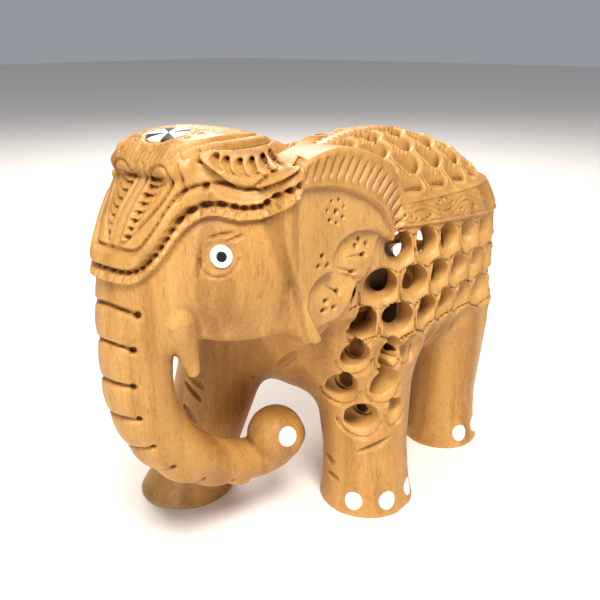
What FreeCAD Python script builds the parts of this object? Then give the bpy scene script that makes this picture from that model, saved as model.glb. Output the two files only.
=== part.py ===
import FreeCAD, Part
import math
import os

from FreeCAD import Placement, Rotation, Vector

# A carved wooden elephant, 4 inches tall.  It stands on four feet at z = 0, faces -X, and its left
# side faces -Y.  One block of wood is sawn, rounded, hollowed and pierced; a smaller elephant stands
# inside it; bone and black discs are let into drilled pockets and sanded flush.

doc = FreeCAD.newDocument("carved_elephant")
sheet = doc.addObject("Spreadsheet::Sheet", "sizes")

SIZES = [
    # torso, a barrel with a superellipse plan
    ("torso_x", 21.2), ("torso_z", 61), ("torso_length", 94.5), ("torso_width", 62),
    ("torso_height", 69), ("torso_squareness", 3.0), ("section_squareness", 2.25),
    # hollow
    ("wall", 7), ("belly_floor", 37),
    # blanket hem round the torso
    ("hem_bottom", 75), ("hem_height", 6.5), ("hem_proud", 0.9),
    # pierced windows
    ("window_width", 6.2), ("window_stretch", 0.8), ("row_pitch", 8.7), ("column_pitch", 11.4),
    ("first_row", 69.5), ("side_rows", 4), ("lattice_front", -3), ("spine_width", 7),
    ("dome_window", 6.2), ("dome_rings", 3), ("leg_pit_depth", 7),
    # legs: foot centres and radii
    ("stance", 41), ("hip_stance", 30), ("hip_height", 53), ("hip_radius", 12.5),
    ("front_left_x", -2.5), ("front_right_x", -31.5), ("hind_left_x", 39), ("hind_right_x", 53.5),
    ("front_hip_left_x", 0), ("front_hip_right_x", -8), ("hind_hip_left_x", 45),
    ("hind_hip_right_x", 50), ("ankle_height", 9), ("near_ankle", 10.8), ("near_foot", 12.5),
    ("far_ankle", 10), ("far_foot", 12.5), ("hind_ankle", 9.3), ("hind_foot", 10.8),
    # head
    ("head_front", -65.5), ("head_length", 61), ("head_width", 54), ("jaw", 59),
    ("head_height", 43), ("cheek_x", -36.5), ("cheek_z", 74), ("cheek_length", 40),
    ("cheek_width", 47), ("cheek_height", 34), ("lip_x", -45), ("lip_drop", 10),
    ("lip_radius", 7),
    # rosette of wedge inlays on the brow, so far below the crown
    ("rosette_x", -47), ("rosette_drop", 2.4), ("rosette_tilt", 24), ("rosette_radius", 4.5),
    ("white_angle", 54), ("inlay_depth", 2),
    # ears
    ("ear_front", -41.5), ("ear_length", 37), ("ear_bottom", 56), ("ear_height", 41.5),
    ("ear_outside", 58), ("ear_splay", 6.5), ("ear_depth", 9),
    # trunk
    ("tip_x", -24.8), ("tip_y", -7), ("tip_z", 23.3), ("tip_radius", 7.4), ("tip_disc", 2.6),
    ("tip_turn", 70), ("tip_rise", 21),
    # eyes and toenails, discs let into drilled pockets
    ("eye_x", -50.5), ("eye_z", 79), ("eye_span", 31.4), ("eye_radius", 2.3),
    ("pupil_radius", 1.15), ("eye_turn", 55), ("nail_radius", 2.5), ("nail_height", 4.2),
    ("nail_spread", 45), ("front_left_turn", 63), ("front_right_turn", 105), ("hind_turn", 110),
    # inner figure, standing on the belly floor
    ("inner_x", 22), ("inner_length", 30), ("inner_width", 17), ("inner_depth", 17),
    ("inner_leg", 11), ("inner_leg_radius", 2.8), ("inner_stance", 9), ("inner_stride", 16),
    ("inner_head", 7), ("inner_ear", 10), ("inner_trunk", 1.6),
]
for row, (alias, number) in enumerate(SIZES, start=1):
    sheet.set("A%d" % row, alias)
    sheet.set("B%d" % row, str(number))
    sheet.setAlias("B%d" % row, alias)
doc.recompute()


def size(alias):
    """The number that the sheet holds under this alias."""
    return float(sheet.get(alias))


def bind(thing, **cells):
    """Bind properties of a document object to expressions on the sheet."""
    for prop, expression in cells.items():
        thing.setExpression(prop.replace("__", "."), expression)
    return thing


def put(thing, x="0", y="0", z="0"):
    """Bind the base of a placement to three expressions."""
    for axis, expression in zip("xyz", (x, y, z)):
        thing.setExpression("Placement.Base." + axis, expression)
    return thing


def feature(name, shape):
    thing = doc.addObject("Part::Feature", name)
    thing.Shape = shape
    return thing


def boolean(kind, name, parts):
    """A Part::MultiFuse or Part::MultiCommon of several document objects."""
    thing = doc.addObject("Part::" + kind, name)
    thing.Shapes = parts
    return thing


def cut(name, base, tool):
    thing = doc.addObject("Part::Cut", name)
    thing.Base = base
    thing.Tool = tool
    return thing


def superellipse(half_a, half_b, power, count=24):
    """Points round |u/a|^p + |v/b|^p = 1, starting on +u."""
    points = []
    for i in range(count):
        angle = 2 * math.pi * i / count
        c, s = math.cos(angle), math.sin(angle)
        u = math.copysign(abs(c) ** (2 / power), c) * half_a
        v = math.copysign(abs(s) ** (2 / power), s) * half_b
        points.append((u, v))
    return points


def smooth_wire(points):
    """A closed spline through points."""
    curve = Part.BSplineCurve()
    curve.interpolate([Vector(*p) for p in points], PeriodicFlag=True)
    return Part.Wire(curve.toShape())


def barrel(grow):
    """The torso's rounded barrel, its outside moved out by grow (in, when negative)."""
    half_length = size("torso_length") / 2 + grow
    half_width = size("torso_width") / 2 + grow
    half_height = size("torso_height") / 2 + grow
    power = size("torso_squareness")
    stations = 13
    wires = []
    for i in range(stations):
        u = math.sin(math.radians(86 * (2 * i / (stations - 1) - 1)))
        plan = (1 - abs(u) ** power) ** (1 / power)
        side = (1 - abs(u) ** 2.4) ** (1 / 2.4)
        ring = superellipse(half_width * plan, half_height * side, size("section_squareness"))
        x = size("torso_x") + u * half_length
        wires.append(smooth_wire([(x, y, size("torso_z") + z) for y, z in ring]))
    return Part.makeLoft(wires, True, False)


def plan_walk(grow=0.0, steps=720):
    """Points (x, y, normal angle) at even arc length along the barrel's plan outline."""
    half_length = size("torso_length") / 2 + grow
    half_width = size("torso_width") / 2 + grow
    ring = superellipse(half_length, half_width, size("torso_squareness"), steps)
    walk = []
    travelled = 0.0
    for i in range(steps):
        (x0, y0), (x1, y1) = ring[i], ring[(i + 1) % steps]
        walk.append((travelled, x0 + size("torso_x"), y0, math.atan2(x0 - x1, y1 - y0)))
        travelled += math.hypot(x1 - x0, y1 - y0)
    return walk, travelled


def at_arc(walk, total, where):
    where %= total
    return min(walk, key=lambda w: abs(w[0] - where))[1:]


def slot_bore(width, stretch, length):
    """A bore along +X, as wide as width and taller by stretch, centred on its axis."""
    radius = width / 2
    low = Part.makeCylinder(radius, length, Vector(0, 0, -stretch / 2), Vector(1, 0, 0))
    high = Part.makeCylinder(radius, length, Vector(0, 0, stretch / 2), Vector(1, 0, 0))
    flat = Part.makeBox(length, width, stretch, Vector(0, -radius, -stretch / 2))
    return low.fuse([high, flat]).removeSplitter()


def side_windows():
    """Staggered rows of windows bored square to the flanks and the rump."""
    bores = []
    walk, total = plan_walk()
    outside = 4
    depth = outside + size("wall") + 3.5
    bore = slot_bore(size("window_width"), size("window_stretch"), depth)
    columns = int(total / size("column_pitch"))
    pitch = total / columns
    for row in range(int(size("side_rows"))):
        for column in range(columns):
            x, y, angle = at_arc(walk, total, (column + 0.5 * (row % 2)) * pitch)
            if x < size("lattice_front") - 3.2 * row:
                continue
            z = size("first_row") - row * size("row_pitch")
            one = bore.copy()
            start = Vector(x + outside * math.cos(angle), y + outside * math.sin(angle), z)
            turn = Rotation(Vector(0, 0, 1), math.degrees(angle) + 180)
            one.Placement = Placement(start, turn)
            bores.append(one)
    return bores


def dome_windows():
    """Rings of upright windows through the top of the blanket, clear of the spine strip."""
    bores = []
    top = size("torso_z") + size("torso_height") / 2
    radius = size("dome_window") / 2
    rings = int(size("dome_rings"))
    for ring in range(rings):
        shrink = -6.5 - ring * (size("dome_window") + 2.2)
        walk, total = plan_walk(shrink)
        columns = int(total / size("column_pitch"))
        for column in range(columns):
            x, y, angle = at_arc(walk, total, (column + 0.5 * (ring % 2)) * total / columns)
            if x < size("lattice_front") - 4 or abs(y) < size("spine_width") / 2 + radius:
                continue
            foot = Vector(x, y, size("hem_bottom") + 4)
            bores.append(Part.makeCylinder(radius, top - size("hem_bottom"), foot))
    return bores


def leg_pits():
    """Four blind pits in the left and right shoulders, below the pierced flank."""
    pits = []
    for side in (-1, 1):
        for step in range(4):
            x = size("front_left_x") - 8.5 + 6.5 * (step % 2)
            z = size("first_row") - size("row_pitch") * (4 + step / 2)
            bore = slot_bore(size("window_width") * 0.8, size("window_stretch"), 20)
            bore.Placement = Placement(Vector(x, side * (size("torso_width") / 2 + 12), z),
                                       Rotation(Vector(0, 0, 1), -90 * side))
            pits.append(bore)
    return pits


def profile(points, origin, span, lift):
    """A closed spline in the XZ plane; points are shares of span along X and lift along Z."""
    return smooth_wire([(origin[0] + u * span, 0, origin[1] + v * lift) for u, v in points])


HEAD_SIDE = [(0.00, 0.28), (0.025, 0.41), (0.08, 0.51), (0.13, 0.62), (0.17, 0.71), (0.19, 0.78),
             (0.18, 0.86), (0.21, 0.925), (0.26, 0.96), (0.32, 0.98), (0.39, 1.00), (0.50, 1.00),
             (0.62, 0.93), (0.71, 0.85), (0.79, 0.75), (0.90, 0.64), (0.93, 0.33), (0.84, 0.04),
             (0.64, 0.00), (0.44, 0.02), (0.25, 0.04), (0.08, 0.04)]
HEAD_PLAN = [(0.00, 0.00), (0.01, 0.15), (0.06, 0.25), (0.14, 0.33), (0.21, 0.39), (0.30, 0.59),
             (0.44, 0.80), (0.61, 0.94), (0.80, 1.00), (1.00, 0.96)]
EAR_OUTLINE = [(0.00, 0.84), (0.14, 0.96), (0.38, 1.00), (0.66, 0.96), (0.88, 0.84), (1.00, 0.67),
               (0.93, 0.50), (0.68, 0.31), (0.46, 0.12), (0.26, 0.00), (0.16, 0.07), (0.11, 0.29),
               (0.00, 0.58)]
# the trunk's centre line and its radius at each station: x, y, z, radius
TRUNK = [(-51.5, 0, 80, 8.8), (-56.5, 0, 68, 8.6), (-60, 0, 57, 7.6), (-60.4, 0, 47, 7.1),
         (-57.2, 0, 37, 6.7), (-50.5, -1, 28.2, 6.1), (-41.5, -2.5, 21.8, 5.6),
         (-32.5, -4.5, 18.6, 5.2), (-25.5, -6.5, 19, 4.8)]


def head_blank():
    """The head as it leaves the saw: the side outline and the plan outline, one through the other."""
    side = Part.Face(profile(HEAD_SIDE, (size("head_front"), size("jaw")), size("head_length"),
                             size("head_height")))
    half = size("head_width") / 2
    left = [(size("head_front") + u * size("head_length"), -v * half) for u, v in HEAD_PLAN]
    right = [(x, -y) for x, y in reversed(left[1:])]
    plan = Part.Face(smooth_wire([(x, y, 0) for x, y in left + right]))
    side.translate(Vector(0, -half - 2, 0))
    slab = side.extrude(Vector(0, 2 * half + 4, 0))
    plan.translate(Vector(0, 0, size("jaw") - 2))
    post = plan.extrude(Vector(0, 0, size("head_height") + 4))
    return slab.common(post)


def trunk_shape():
    """Round sections of shrinking radius swept down, under and up to the tip."""
    wires = []
    for i, (x, y, z, radius) in enumerate(TRUNK):
        before, after = TRUNK[max(i - 1, 0)], TRUNK[min(i + 1, len(TRUNK) - 1)]
        along = Vector(*after[:3]) - Vector(*before[:3])
        wires.append(Part.Wire(Part.makeCircle(radius, Vector(x, y, z), along)))
    return Part.makeLoft(wires, True, False)


def ear_blank(side):
    """One ear plate, let into the shoulder and splayed out towards its rear edge."""
    outline = Part.Face(profile(EAR_OUTLINE, (size("ear_front"), size("ear_bottom")),
                                size("ear_length"), size("ear_height")))
    outline.translate(Vector(0, -size("ear_outside") / 2 + 1, 0))
    plate = outline.extrude(Vector(0, size("ear_depth"), 0))
    plate.rotate(Vector(size("ear_front"), -size("ear_outside") / 2, 0), Vector(0, 0, 1),
                 -size("ear_splay"))
    if side > 0:
        plate = plate.mirror(Vector(0, 0, 0), Vector(0, 1, 0))
    return plate


LEGS = {
    "front_left": ("front_left_x", "front_hip_left_x", -1, "near_ankle", "near_foot"),
    "front_right": ("front_right_x", "front_hip_right_x", 1, "far_ankle", "far_foot"),
    "hind_left": ("hind_left_x", "hind_hip_left_x", -1, "hind_ankle", "hind_foot"),
    "hind_right": ("hind_right_x", "hind_hip_right_x", 1, "hind_ankle", "hind_foot"),
}


# the compass turn of each foot's middle disc, outwards from straight ahead
NAIL_TURN = {"front_left": "front_left_turn", "front_right": "front_right_turn",
             "hind_left": "hind_turn", "hind_right": "hind_turn"}


def ring(name, x, y, z, radius):
    """A level circle, bound to the sheet."""
    circle = doc.addObject("Part::Circle", name)
    bind(circle, Radius=radius)
    return put(circle, x, y, z)


def leg(name):
    """A leg: a straight taper from hip to ankle and a foot that flares to the ground."""
    foot_x, hip_x, side, ankle, foot = ["sizes." + k if isinstance(k, str) else k for k in LEGS[name]]
    foot_y = "%d * sizes.stance / 2" % side
    hip_y = "%d * sizes.hip_stance / 2" % side
    rings = [
        ring(name + "_sole", foot_x, foot_y, "0", foot),
        ring(name + "_ankle", foot_x, foot_y, "sizes.ankle_height", ankle),
        ring(name + "_hip", hip_x, hip_y, "sizes.hip_height", "sizes.hip_radius"),
    ]
    loft = doc.addObject("Part::Loft", name + "_leg")
    loft.Sections = rings
    loft.Solid = True
    loft.Ruled = True
    return loft


def hem_ring():
    """The blanket's hem: a slice of a slightly larger barrel."""
    slab = Part.makeBox(200, 200, size("hem_height"), Vector(-100, -100, size("hem_bottom")))
    ring_solid = barrel(size("hem_proud")).common(slab)
    front = Part.makeBox(100, 200, 200, Vector(size("lattice_front") - 8 - 100, -100, 0))
    return ring_solid.cut(front)


def cheeks_form():
    """One broad rounded form that swells out on both sides as the cheeks."""
    cheeks = doc.addObject("Part::Ellipsoid", "cheeks")
    cheeks.Angle1, cheeks.Angle2, cheeks.Angle3 = -90, 90, 360
    bind(cheeks, Radius1="sizes.cheek_height / 2", Radius2="sizes.cheek_length / 2",
         Radius3="sizes.cheek_width / 2")
    return put(cheeks, "sizes.cheek_x", "0", "sizes.cheek_z")


def lip_form():
    """The pointed lower lip, hanging from the jaw behind the trunk."""
    lip = doc.addObject("Part::Cone", "lower_lip")
    bind(lip, Radius1="sizes.lip_radius / 5", Radius2="sizes.lip_radius",
         Height="sizes.lip_drop + 6")
    return put(lip, "sizes.lip_x", "0", "sizes.jaw - sizes.lip_drop")


def tip_form():
    tip = bind(doc.addObject("Part::Sphere", "trunk_tip"), Radius="sizes.tip_radius")
    return put(tip, "sizes.tip_x", "sizes.tip_y", "sizes.tip_z")


def outer_form():
    """The block's outside, before it is hollowed."""
    solids = [
        feature("torso", barrel(0)),
        feature("hem", hem_ring()),
        feature("head", head_blank()),
        feature("trunk", trunk_shape()),
        feature("ear_left", ear_blank(-1)),
        feature("ear_right", ear_blank(1)),
        cheeks_form(),
        lip_form(),
        tip_form(),
    ]
    solids += [leg(name) for name in LEGS]
    return boolean("MultiFuse", "outer_form", solids)


def hollow_form():
    """The space inside the torso, with a flat floor for the inner figure."""
    room = feature("room", barrel(-size("wall")))
    above = bind(doc.addObject("Part::Box", "above_floor"), Length="200", Width="200", Height="100")
    put(above, "-100", "-100", "sizes.belly_floor")
    return boolean("MultiCommon", "hollow", [room, above])


def window_bores():
    """Every window and pit, fused so that bores which meet inside are one tool."""
    bores = side_windows() + dome_windows() + leg_pits()
    return feature("window_bores", bores[0].fuse(bores[1:]))


def facing(x, y, z, turn, rise=0.0):
    """A placement whose own Z axis points along the compass turn (0 is -X, 90 is -Y) and rise."""
    angle, up = math.radians(turn), math.radians(rise)
    out = Vector(-math.cos(angle) * math.cos(up), -math.sin(angle) * math.cos(up), math.sin(up))
    return Placement(Vector(x, y, z), Rotation(Vector(0, 0, 1), out))


def drill(name, radius, height, seat, angle="360"):
    """A round tool standing on seat; it is both the pocket and the blank of the plug in it."""
    tool = bind(doc.addObject("Part::Cylinder", name), Radius=radius, Height=height, Angle=angle)
    tool.Placement = seat
    return tool


def plug(name, outer, tool):
    """An inlaid piece: what its pocket takes out of the outside, so that its face is flush."""
    return boolean("MultiCommon", name, [outer, tool])


def toenails(outer):
    """Three discs round the front of each foot."""
    share = size("nail_height") / size("ankle_height")
    nodes, tools = {}, []
    for foot_name, (foot_x, _, side, ankle, foot) in LEGS.items():
        depth = size(foot) + (size(ankle) - size(foot)) * share - size("inlay_depth")
        for number in (1, 2, 3):
            middle = -side * size(NAIL_TURN[foot_name])
            turn = middle + (number - 2) * size("nail_spread")
            angle = math.radians(turn)
            seat = facing(size(foot_x) - depth * math.cos(angle),
                          side * size("stance") / 2 - depth * math.sin(angle),
                          size("nail_height"), turn)
            name = "toenail_%s_%d" % (foot_name, number)
            tool = drill(name + "_drill", "sizes.nail_radius", "sizes.inlay_depth * 3", seat)
            tools.append(tool)
            nodes[name] = plug(name, outer, tool)
    return nodes, tools


def tip_discs(outer):
    """A disc on each side of the trunk's tip."""
    nodes, tools = {}, []
    depth = size("tip_radius") - size("inlay_depth")
    for side, word in ((-1, "left"), (1, "right")):
        seat = facing(size("tip_x"), size("tip_y"), size("tip_z"), -side * size("tip_turn"),
                      size("tip_rise"))
        seat = seat.multiply(Placement(Vector(0, 0, depth), Rotation()))
        tool = drill("tip_drill_" + word, "sizes.tip_disc", "sizes.inlay_depth * 2", seat)
        tools.append(tool)
        name = "trunk_tip_disc_" + word
        nodes[name] = plug(name, outer, tool)
    return nodes, tools


def eyes(outer):
    """A white disc in each cheek and a black pupil through its middle."""
    nodes, tools = {}, []
    for side, word in ((-1, "left"), (1, "right")):
        turn = -side * size("eye_turn")
        angle = math.radians(turn)
        surface_y = side * size("eye_span") / 2
        seat = facing(size("eye_x") + size("inlay_depth") * math.cos(angle),
                      surface_y + size("inlay_depth") * math.sin(angle), size("eye_z"), turn)
        white_drill = drill("eye_drill_" + word, "sizes.eye_radius", "sizes.inlay_depth * 4", seat)
        pupil_drill = drill("pupil_drill_" + word, "sizes.pupil_radius",
                            "sizes.inlay_depth * 4", seat)
        blank = plug("eye_blank_" + word, outer, white_drill)
        nodes["eye_white_" + word] = cut("eye_white_" + word, blank, pupil_drill)
        nodes["eye_pupil_" + word] = plug("eye_pupil_" + word, outer, pupil_drill)
        tools.append(white_drill)
    return nodes, tools


def rosette(outer):
    """Eight wedges, white and black in turn, let into one round pocket on the brow."""
    crown = size("jaw") + size("head_height")
    seat = facing(size("rosette_x"), 0, crown - size("rosette_drop"), 0, 90 - size("rosette_tilt"))
    seat = seat.multiply(Placement(Vector(0, 0, -size("inlay_depth")), Rotation()))
    tall = "sizes.inlay_depth * 4"
    bed = drill("rosette_drill", "sizes.rosette_radius", tall, seat)
    nodes = {}
    for quarter in range(4):
        start = 90 * quarter
        for colour, turn, angle in (
            ("white", start, "sizes.white_angle"),
            ("black", start + size("white_angle"), "90 - sizes.white_angle"),
        ):
            name = "rosette_%s_%d" % (colour, quarter + 1)
            spun = seat.multiply(Placement(Vector(), Rotation(Vector(0, 0, 1), turn)))
            wedge = drill(name + "_drill", "sizes.rosette_radius", tall, spun, angle)
            nodes[name] = plug(name, outer, wedge)
    return nodes, [bed]


def inner_elephant():
    """The small elephant inside: barrel, head, ears, legs, trunk and tail, feet on the floor."""
    body_z = "sizes.belly_floor + sizes.inner_leg + sizes.inner_depth / 2 - 3"
    body = doc.addObject("Part::Ellipsoid", "inner_body")
    body.Angle1, body.Angle2, body.Angle3 = -90, 90, 360
    bind(body, Radius1="sizes.inner_depth / 2", Radius2="sizes.inner_length / 2",
         Radius3="sizes.inner_width / 2")
    put(body, "sizes.inner_x", "0", body_z)
    head = bind(doc.addObject("Part::Sphere", "inner_head_ball"), Radius="sizes.inner_head")
    put(head, "sizes.inner_x - sizes.inner_length / 2", "0", body_z + " + 4")
    ears = doc.addObject("Part::Ellipsoid", "inner_ears")
    ears.Angle1, ears.Angle2, ears.Angle3 = -90, 90, 360
    bind(ears, Radius1="sizes.inner_ear * 0.6", Radius2="sizes.inner_ear / 5",
         Radius3="sizes.inner_ear")
    put(ears, "sizes.inner_x - sizes.inner_length / 2 + 4", "0", body_z + " + 4")
    trunk = doc.addObject("Part::Cone", "inner_trunk_cone")
    bind(trunk, Radius1="sizes.inner_trunk", Radius2="sizes.inner_trunk * 2",
         Height="sizes.inner_leg + 2")
    put(trunk, "sizes.inner_x - sizes.inner_length / 2 - sizes.inner_head + 2", "0",
        "sizes.belly_floor + 3")
    pieces = [body, head, ears, trunk]
    for end, along in (("front", -1), ("hind", 1)):
        for side, word in ((-1, "left"), (1, "right")):
            shin = doc.addObject("Part::Cone", "inner_leg_%s_%s" % (end, word))
            bind(shin, Radius1="sizes.inner_leg_radius", Radius2="sizes.inner_leg_radius * 1.2",
                 Height="sizes.inner_leg + 2")
            put(shin, "sizes.inner_x + %d * sizes.inner_stride / 2" % along,
                "%d * sizes.inner_stance / 2" % side, "sizes.belly_floor")
            pieces.append(shin)
    return boolean("MultiFuse", "inner_elephant", pieces)


def build():
    """Every node of the assembly, by name."""
    outer = outer_form()
    nodes, drills = {}, []
    for maker in (toenails, tip_discs, eyes, rosette):
        made, tools = maker(outer)
        nodes.update(made)
        drills += tools
    hollowed = cut("hollowed", outer, hollow_form())
    pierced = cut("pierced", hollowed, window_bores())
    pockets = boolean("MultiFuse", "pockets", drills)
    nodes["carved_block"] = cut("carved_block", pierced, pockets)
    nodes["inner_elephant"] = inner_elephant()
    return nodes


def failures(nodes):
    """Names of objects that did not compute and of nodes that are not one valid solid."""
    bad = [o.Name for o in doc.Objects if {"Invalid", "Error"} & set(o.State)]
    for name, node in nodes.items():
        shape = node.Shape
        if shape.isNull() or not shape.isValid() or len(shape.Solids) != 1:
            bad.append(name)
    return bad


NODES = build()
doc.recompute()
faults = failures(NODES)
if faults:
    raise RuntimeError("these objects failed: " + ", ".join(faults))
os.makedirs("parts", exist_ok=True)
for node_name, node in NODES.items():
    node.Label = node_name
    node.Shape.exportStep("parts/%s.step" % node_name)
    print("%-26s %9.1f mm3" % (node_name, node.Shape.Volume))
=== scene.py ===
# %% [markdown]
# # A carved wooden elephant
# The real object is one block of pale, fine-grained wood.  It is sawn to a side outline, rounded with a
# chisel, hollowed through its pierced flanks, and covered with drilled dots and comma-shaped cuts.
# A mesh modelled by hand would need every cut drawn as edges.  Here the block is a block again: a grid
# of numbers that say how far each point is from the surface, so each cut is one formula that takes
# wood away.  The CAD model gives the frame: sizes and places come from it.

# %% The frame
import bmesh
import bpy
import math
import numpy as np
from mathutils import Matrix, Vector


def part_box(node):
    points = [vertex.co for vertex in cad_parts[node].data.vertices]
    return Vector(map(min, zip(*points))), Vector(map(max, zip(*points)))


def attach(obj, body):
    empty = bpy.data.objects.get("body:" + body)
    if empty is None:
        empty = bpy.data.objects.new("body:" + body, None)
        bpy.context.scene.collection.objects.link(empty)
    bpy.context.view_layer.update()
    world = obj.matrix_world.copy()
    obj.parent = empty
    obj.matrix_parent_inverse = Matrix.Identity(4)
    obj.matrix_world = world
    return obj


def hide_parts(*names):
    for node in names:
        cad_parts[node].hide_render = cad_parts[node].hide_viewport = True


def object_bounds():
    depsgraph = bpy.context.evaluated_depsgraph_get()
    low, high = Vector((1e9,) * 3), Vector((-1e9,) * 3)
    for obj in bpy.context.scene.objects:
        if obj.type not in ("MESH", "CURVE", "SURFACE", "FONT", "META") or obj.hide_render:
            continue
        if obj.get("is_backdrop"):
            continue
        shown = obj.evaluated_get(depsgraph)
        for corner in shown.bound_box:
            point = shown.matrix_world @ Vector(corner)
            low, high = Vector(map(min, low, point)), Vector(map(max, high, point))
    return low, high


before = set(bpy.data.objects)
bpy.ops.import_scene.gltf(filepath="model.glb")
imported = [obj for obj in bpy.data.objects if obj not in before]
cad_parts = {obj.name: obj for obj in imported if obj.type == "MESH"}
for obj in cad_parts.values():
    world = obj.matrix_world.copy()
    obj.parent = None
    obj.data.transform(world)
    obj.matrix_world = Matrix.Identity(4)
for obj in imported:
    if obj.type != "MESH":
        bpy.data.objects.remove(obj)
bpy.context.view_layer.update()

# %% [markdown]
# ## The block of wood
# The grid stands for the block before sawing.  Each number is a distance in millimetres: above zero is
# air, below zero is wood.  A closer grid shows finer cuts and costs more time; a third of a millimetre
# is about the edge of a small carving chisel.

# %% The grid
STEP = 0.36
LOW = np.array([-68.4, -93 * STEP, -1.5 * STEP])
COUNT = np.array([int(137.2 / STEP) + 2, 187, int(103.6 / STEP) + 2])
AXES = [(LOW[i] + STEP * np.arange(COUNT[i])).astype(np.float32) for i in range(3)]
wood = np.full(COUNT, 30, np.float32)
print("grid", COUNT, "is", round(wood.size / 1e6, 1), "million numbers")


def block(low, high):
    """The slices of the grid inside a box, and its x, y and z, shaped so that they broadcast."""
    cut = []
    for i in range(3):
        first = int(np.clip((low[i] - LOW[i]) / STEP, 0, COUNT[i] - 1))
        last = int(np.clip((high[i] - LOW[i]) / STEP + 2, first + 1, COUNT[i]))
        cut.append(slice(first, last))
    x, y, z = AXES[0][cut[0]], AXES[1][cut[1]], AXES[2][cut[2]]
    return tuple(cut), x[:, None, None], y[None, :, None], z[None, None, :]


# %% [markdown]
# ## Joining forms
# Two forms meet in a crease if the smaller distance is taken.  A carver rounds that crease, so the
# smaller distance is lowered a little where both are nearly equal.

# %% Soft joins and simple forms
def soft_min(a, b, k):
    """The smaller of a and b, lowered by up to k / 4 where they differ by less than k."""
    near = np.maximum(k - np.abs(a - b), 0) / k
    return np.minimum(a, b) - near * near * (k * 0.25)


def soft_max(a, b, k):
    return -soft_min(-a, -b, k)


def ellipsoid(x, y, z, centre, radii):
    """Near the surface, (|p / r| - 1) times |p / r| over the length of its slope is the distance."""
    u, v, w = x - centre[0], y - centre[1], z - centre[2]
    k = np.sqrt((u / radii[0]) ** 2 + (v / radii[1]) ** 2 + (w / radii[2]) ** 2)
    slope = np.sqrt((u / radii[0] ** 2) ** 2 + (v / radii[1] ** 2) ** 2 + (w / radii[2] ** 2) ** 2)
    return k * (k - 1) / (slope + 1e-6)


def taper(x, y, z, a, b, ra, rb):
    """A rod from a to b whose radius runs from ra to rb, round at both ends."""
    a, b = np.array(a, float), np.array(b, float)
    run = b - a
    u, v, w = x - a[0], y - a[1], z - a[2]
    t = np.clip((u * run[0] + v * run[1] + w * run[2]) / (run @ run), 0, 1)
    far = np.sqrt((u - run[0] * t) ** 2 + (v - run[1] * t) ** 2 + (w - run[2] * t) ** 2)
    return far - (ra + (rb - ra) * t)


def through(points, closed=True, fine=8):
    """A smooth curve through given points: each stretch is the cubic whose ends lean along the
    line between their neighbours."""
    p = np.array(points, float)
    n = len(p)
    at = np.arange(n if closed else n - 1)
    pick = (lambda i: p[i % n]) if closed else (lambda i: p[np.clip(i, 0, n - 1)])
    a, b, c, d = [pick(at + k)[:, None, :] for k in (-1, 0, 1, 2)]
    t = np.linspace(0, 1, fine, endpoint=False)[None, :, None]
    curve = 0.5 * (2 * b + (c - a) * t + (2 * a - 5 * b + 4 * c - d) * t ** 2
                   + (3 * b - a - 3 * c + d) * t ** 3)
    curve = curve.reshape(-1, p.shape[1])
    return curve if closed else np.vstack([curve, p[-1]])


def outline(u, v, points):
    """Distance to a closed outline, below zero inside it.  The nearest edge gives the distance, and
    crossing an odd number of edges on the way out means inside."""
    ring = through(points)
    best = np.full(np.broadcast(u, v).shape, 1e9, np.float32)
    inside = np.zeros(best.shape, bool)
    for a, b in zip(ring, np.roll(ring, -1, axis=0)):
        run = b - a
        t = np.clip(((u - a[0]) * run[0] + (v - a[1]) * run[1]) / (run @ run), 0, 1)
        best = np.minimum(best, (u - a[0] - run[0] * t) ** 2 + (v - a[1] - run[1] * t) ** 2)
        if a[1] != b[1]:
            crosses = (v >= min(a[1], b[1])) & (v < max(a[1], b[1]))
            inside ^= crosses & (u < a[0] + (v - a[1]) * run[0] / run[1])
    best = np.sqrt(best)
    return np.where(inside, -best, best).astype(np.float32)


def join(form, low, high, blend):
    """Add a form to the wood inside a box that clears it by the blend."""
    cut, x, y, z = block(low, high)
    wood[cut] = soft_min(wood[cut], form(x, y, z), blend)


# %% [markdown]
# ## The body
# The torso is a barrel, squarer seen from above than from the side.  Front and back are superellipses,
# so one power sets how square the plan is and another how full the back is.

# %% Body and legs
TORSO = np.array([20.6, 0, 61.0])
TORSO_RADII = np.array([47.4, 31.0, 34.4])
PLAN_POWER, SIDE_POWER = 2.8, 2.2


def barrel(x, y, z, grow=0.0):
    """Superellipsoid: the plan level (|x|^p + |y|^p)^(1/p) and the height are joined with power q;
    the level minus one, times the distance from the middle over the level, is the distance."""
    r = TORSO_RADII + grow
    u, v, w = np.abs(x - TORSO[0]) / r[0], np.abs(y) / r[1], np.abs(z - TORSO[2]) / r[2]
    plan = (u ** PLAN_POWER + v ** PLAN_POWER) ** (1 / PLAN_POWER)
    level = (plan ** SIDE_POWER + w ** SIDE_POWER) ** (1 / SIDE_POWER)
    away = np.sqrt((x - TORSO[0]) ** 2 + y ** 2 + (z - TORSO[2]) ** 2)
    return (level - 1) * away / np.maximum(level, 1e-3)


join(barrel, (-34, -40, 20), (75, 40, 102), 1)
join(lambda x, y, z: ellipsoid(x, y, z, (1.5, 0, 56), (24, 29.5, 30)), (-32, -40, 18), (36, 40, 96), 8)

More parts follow.
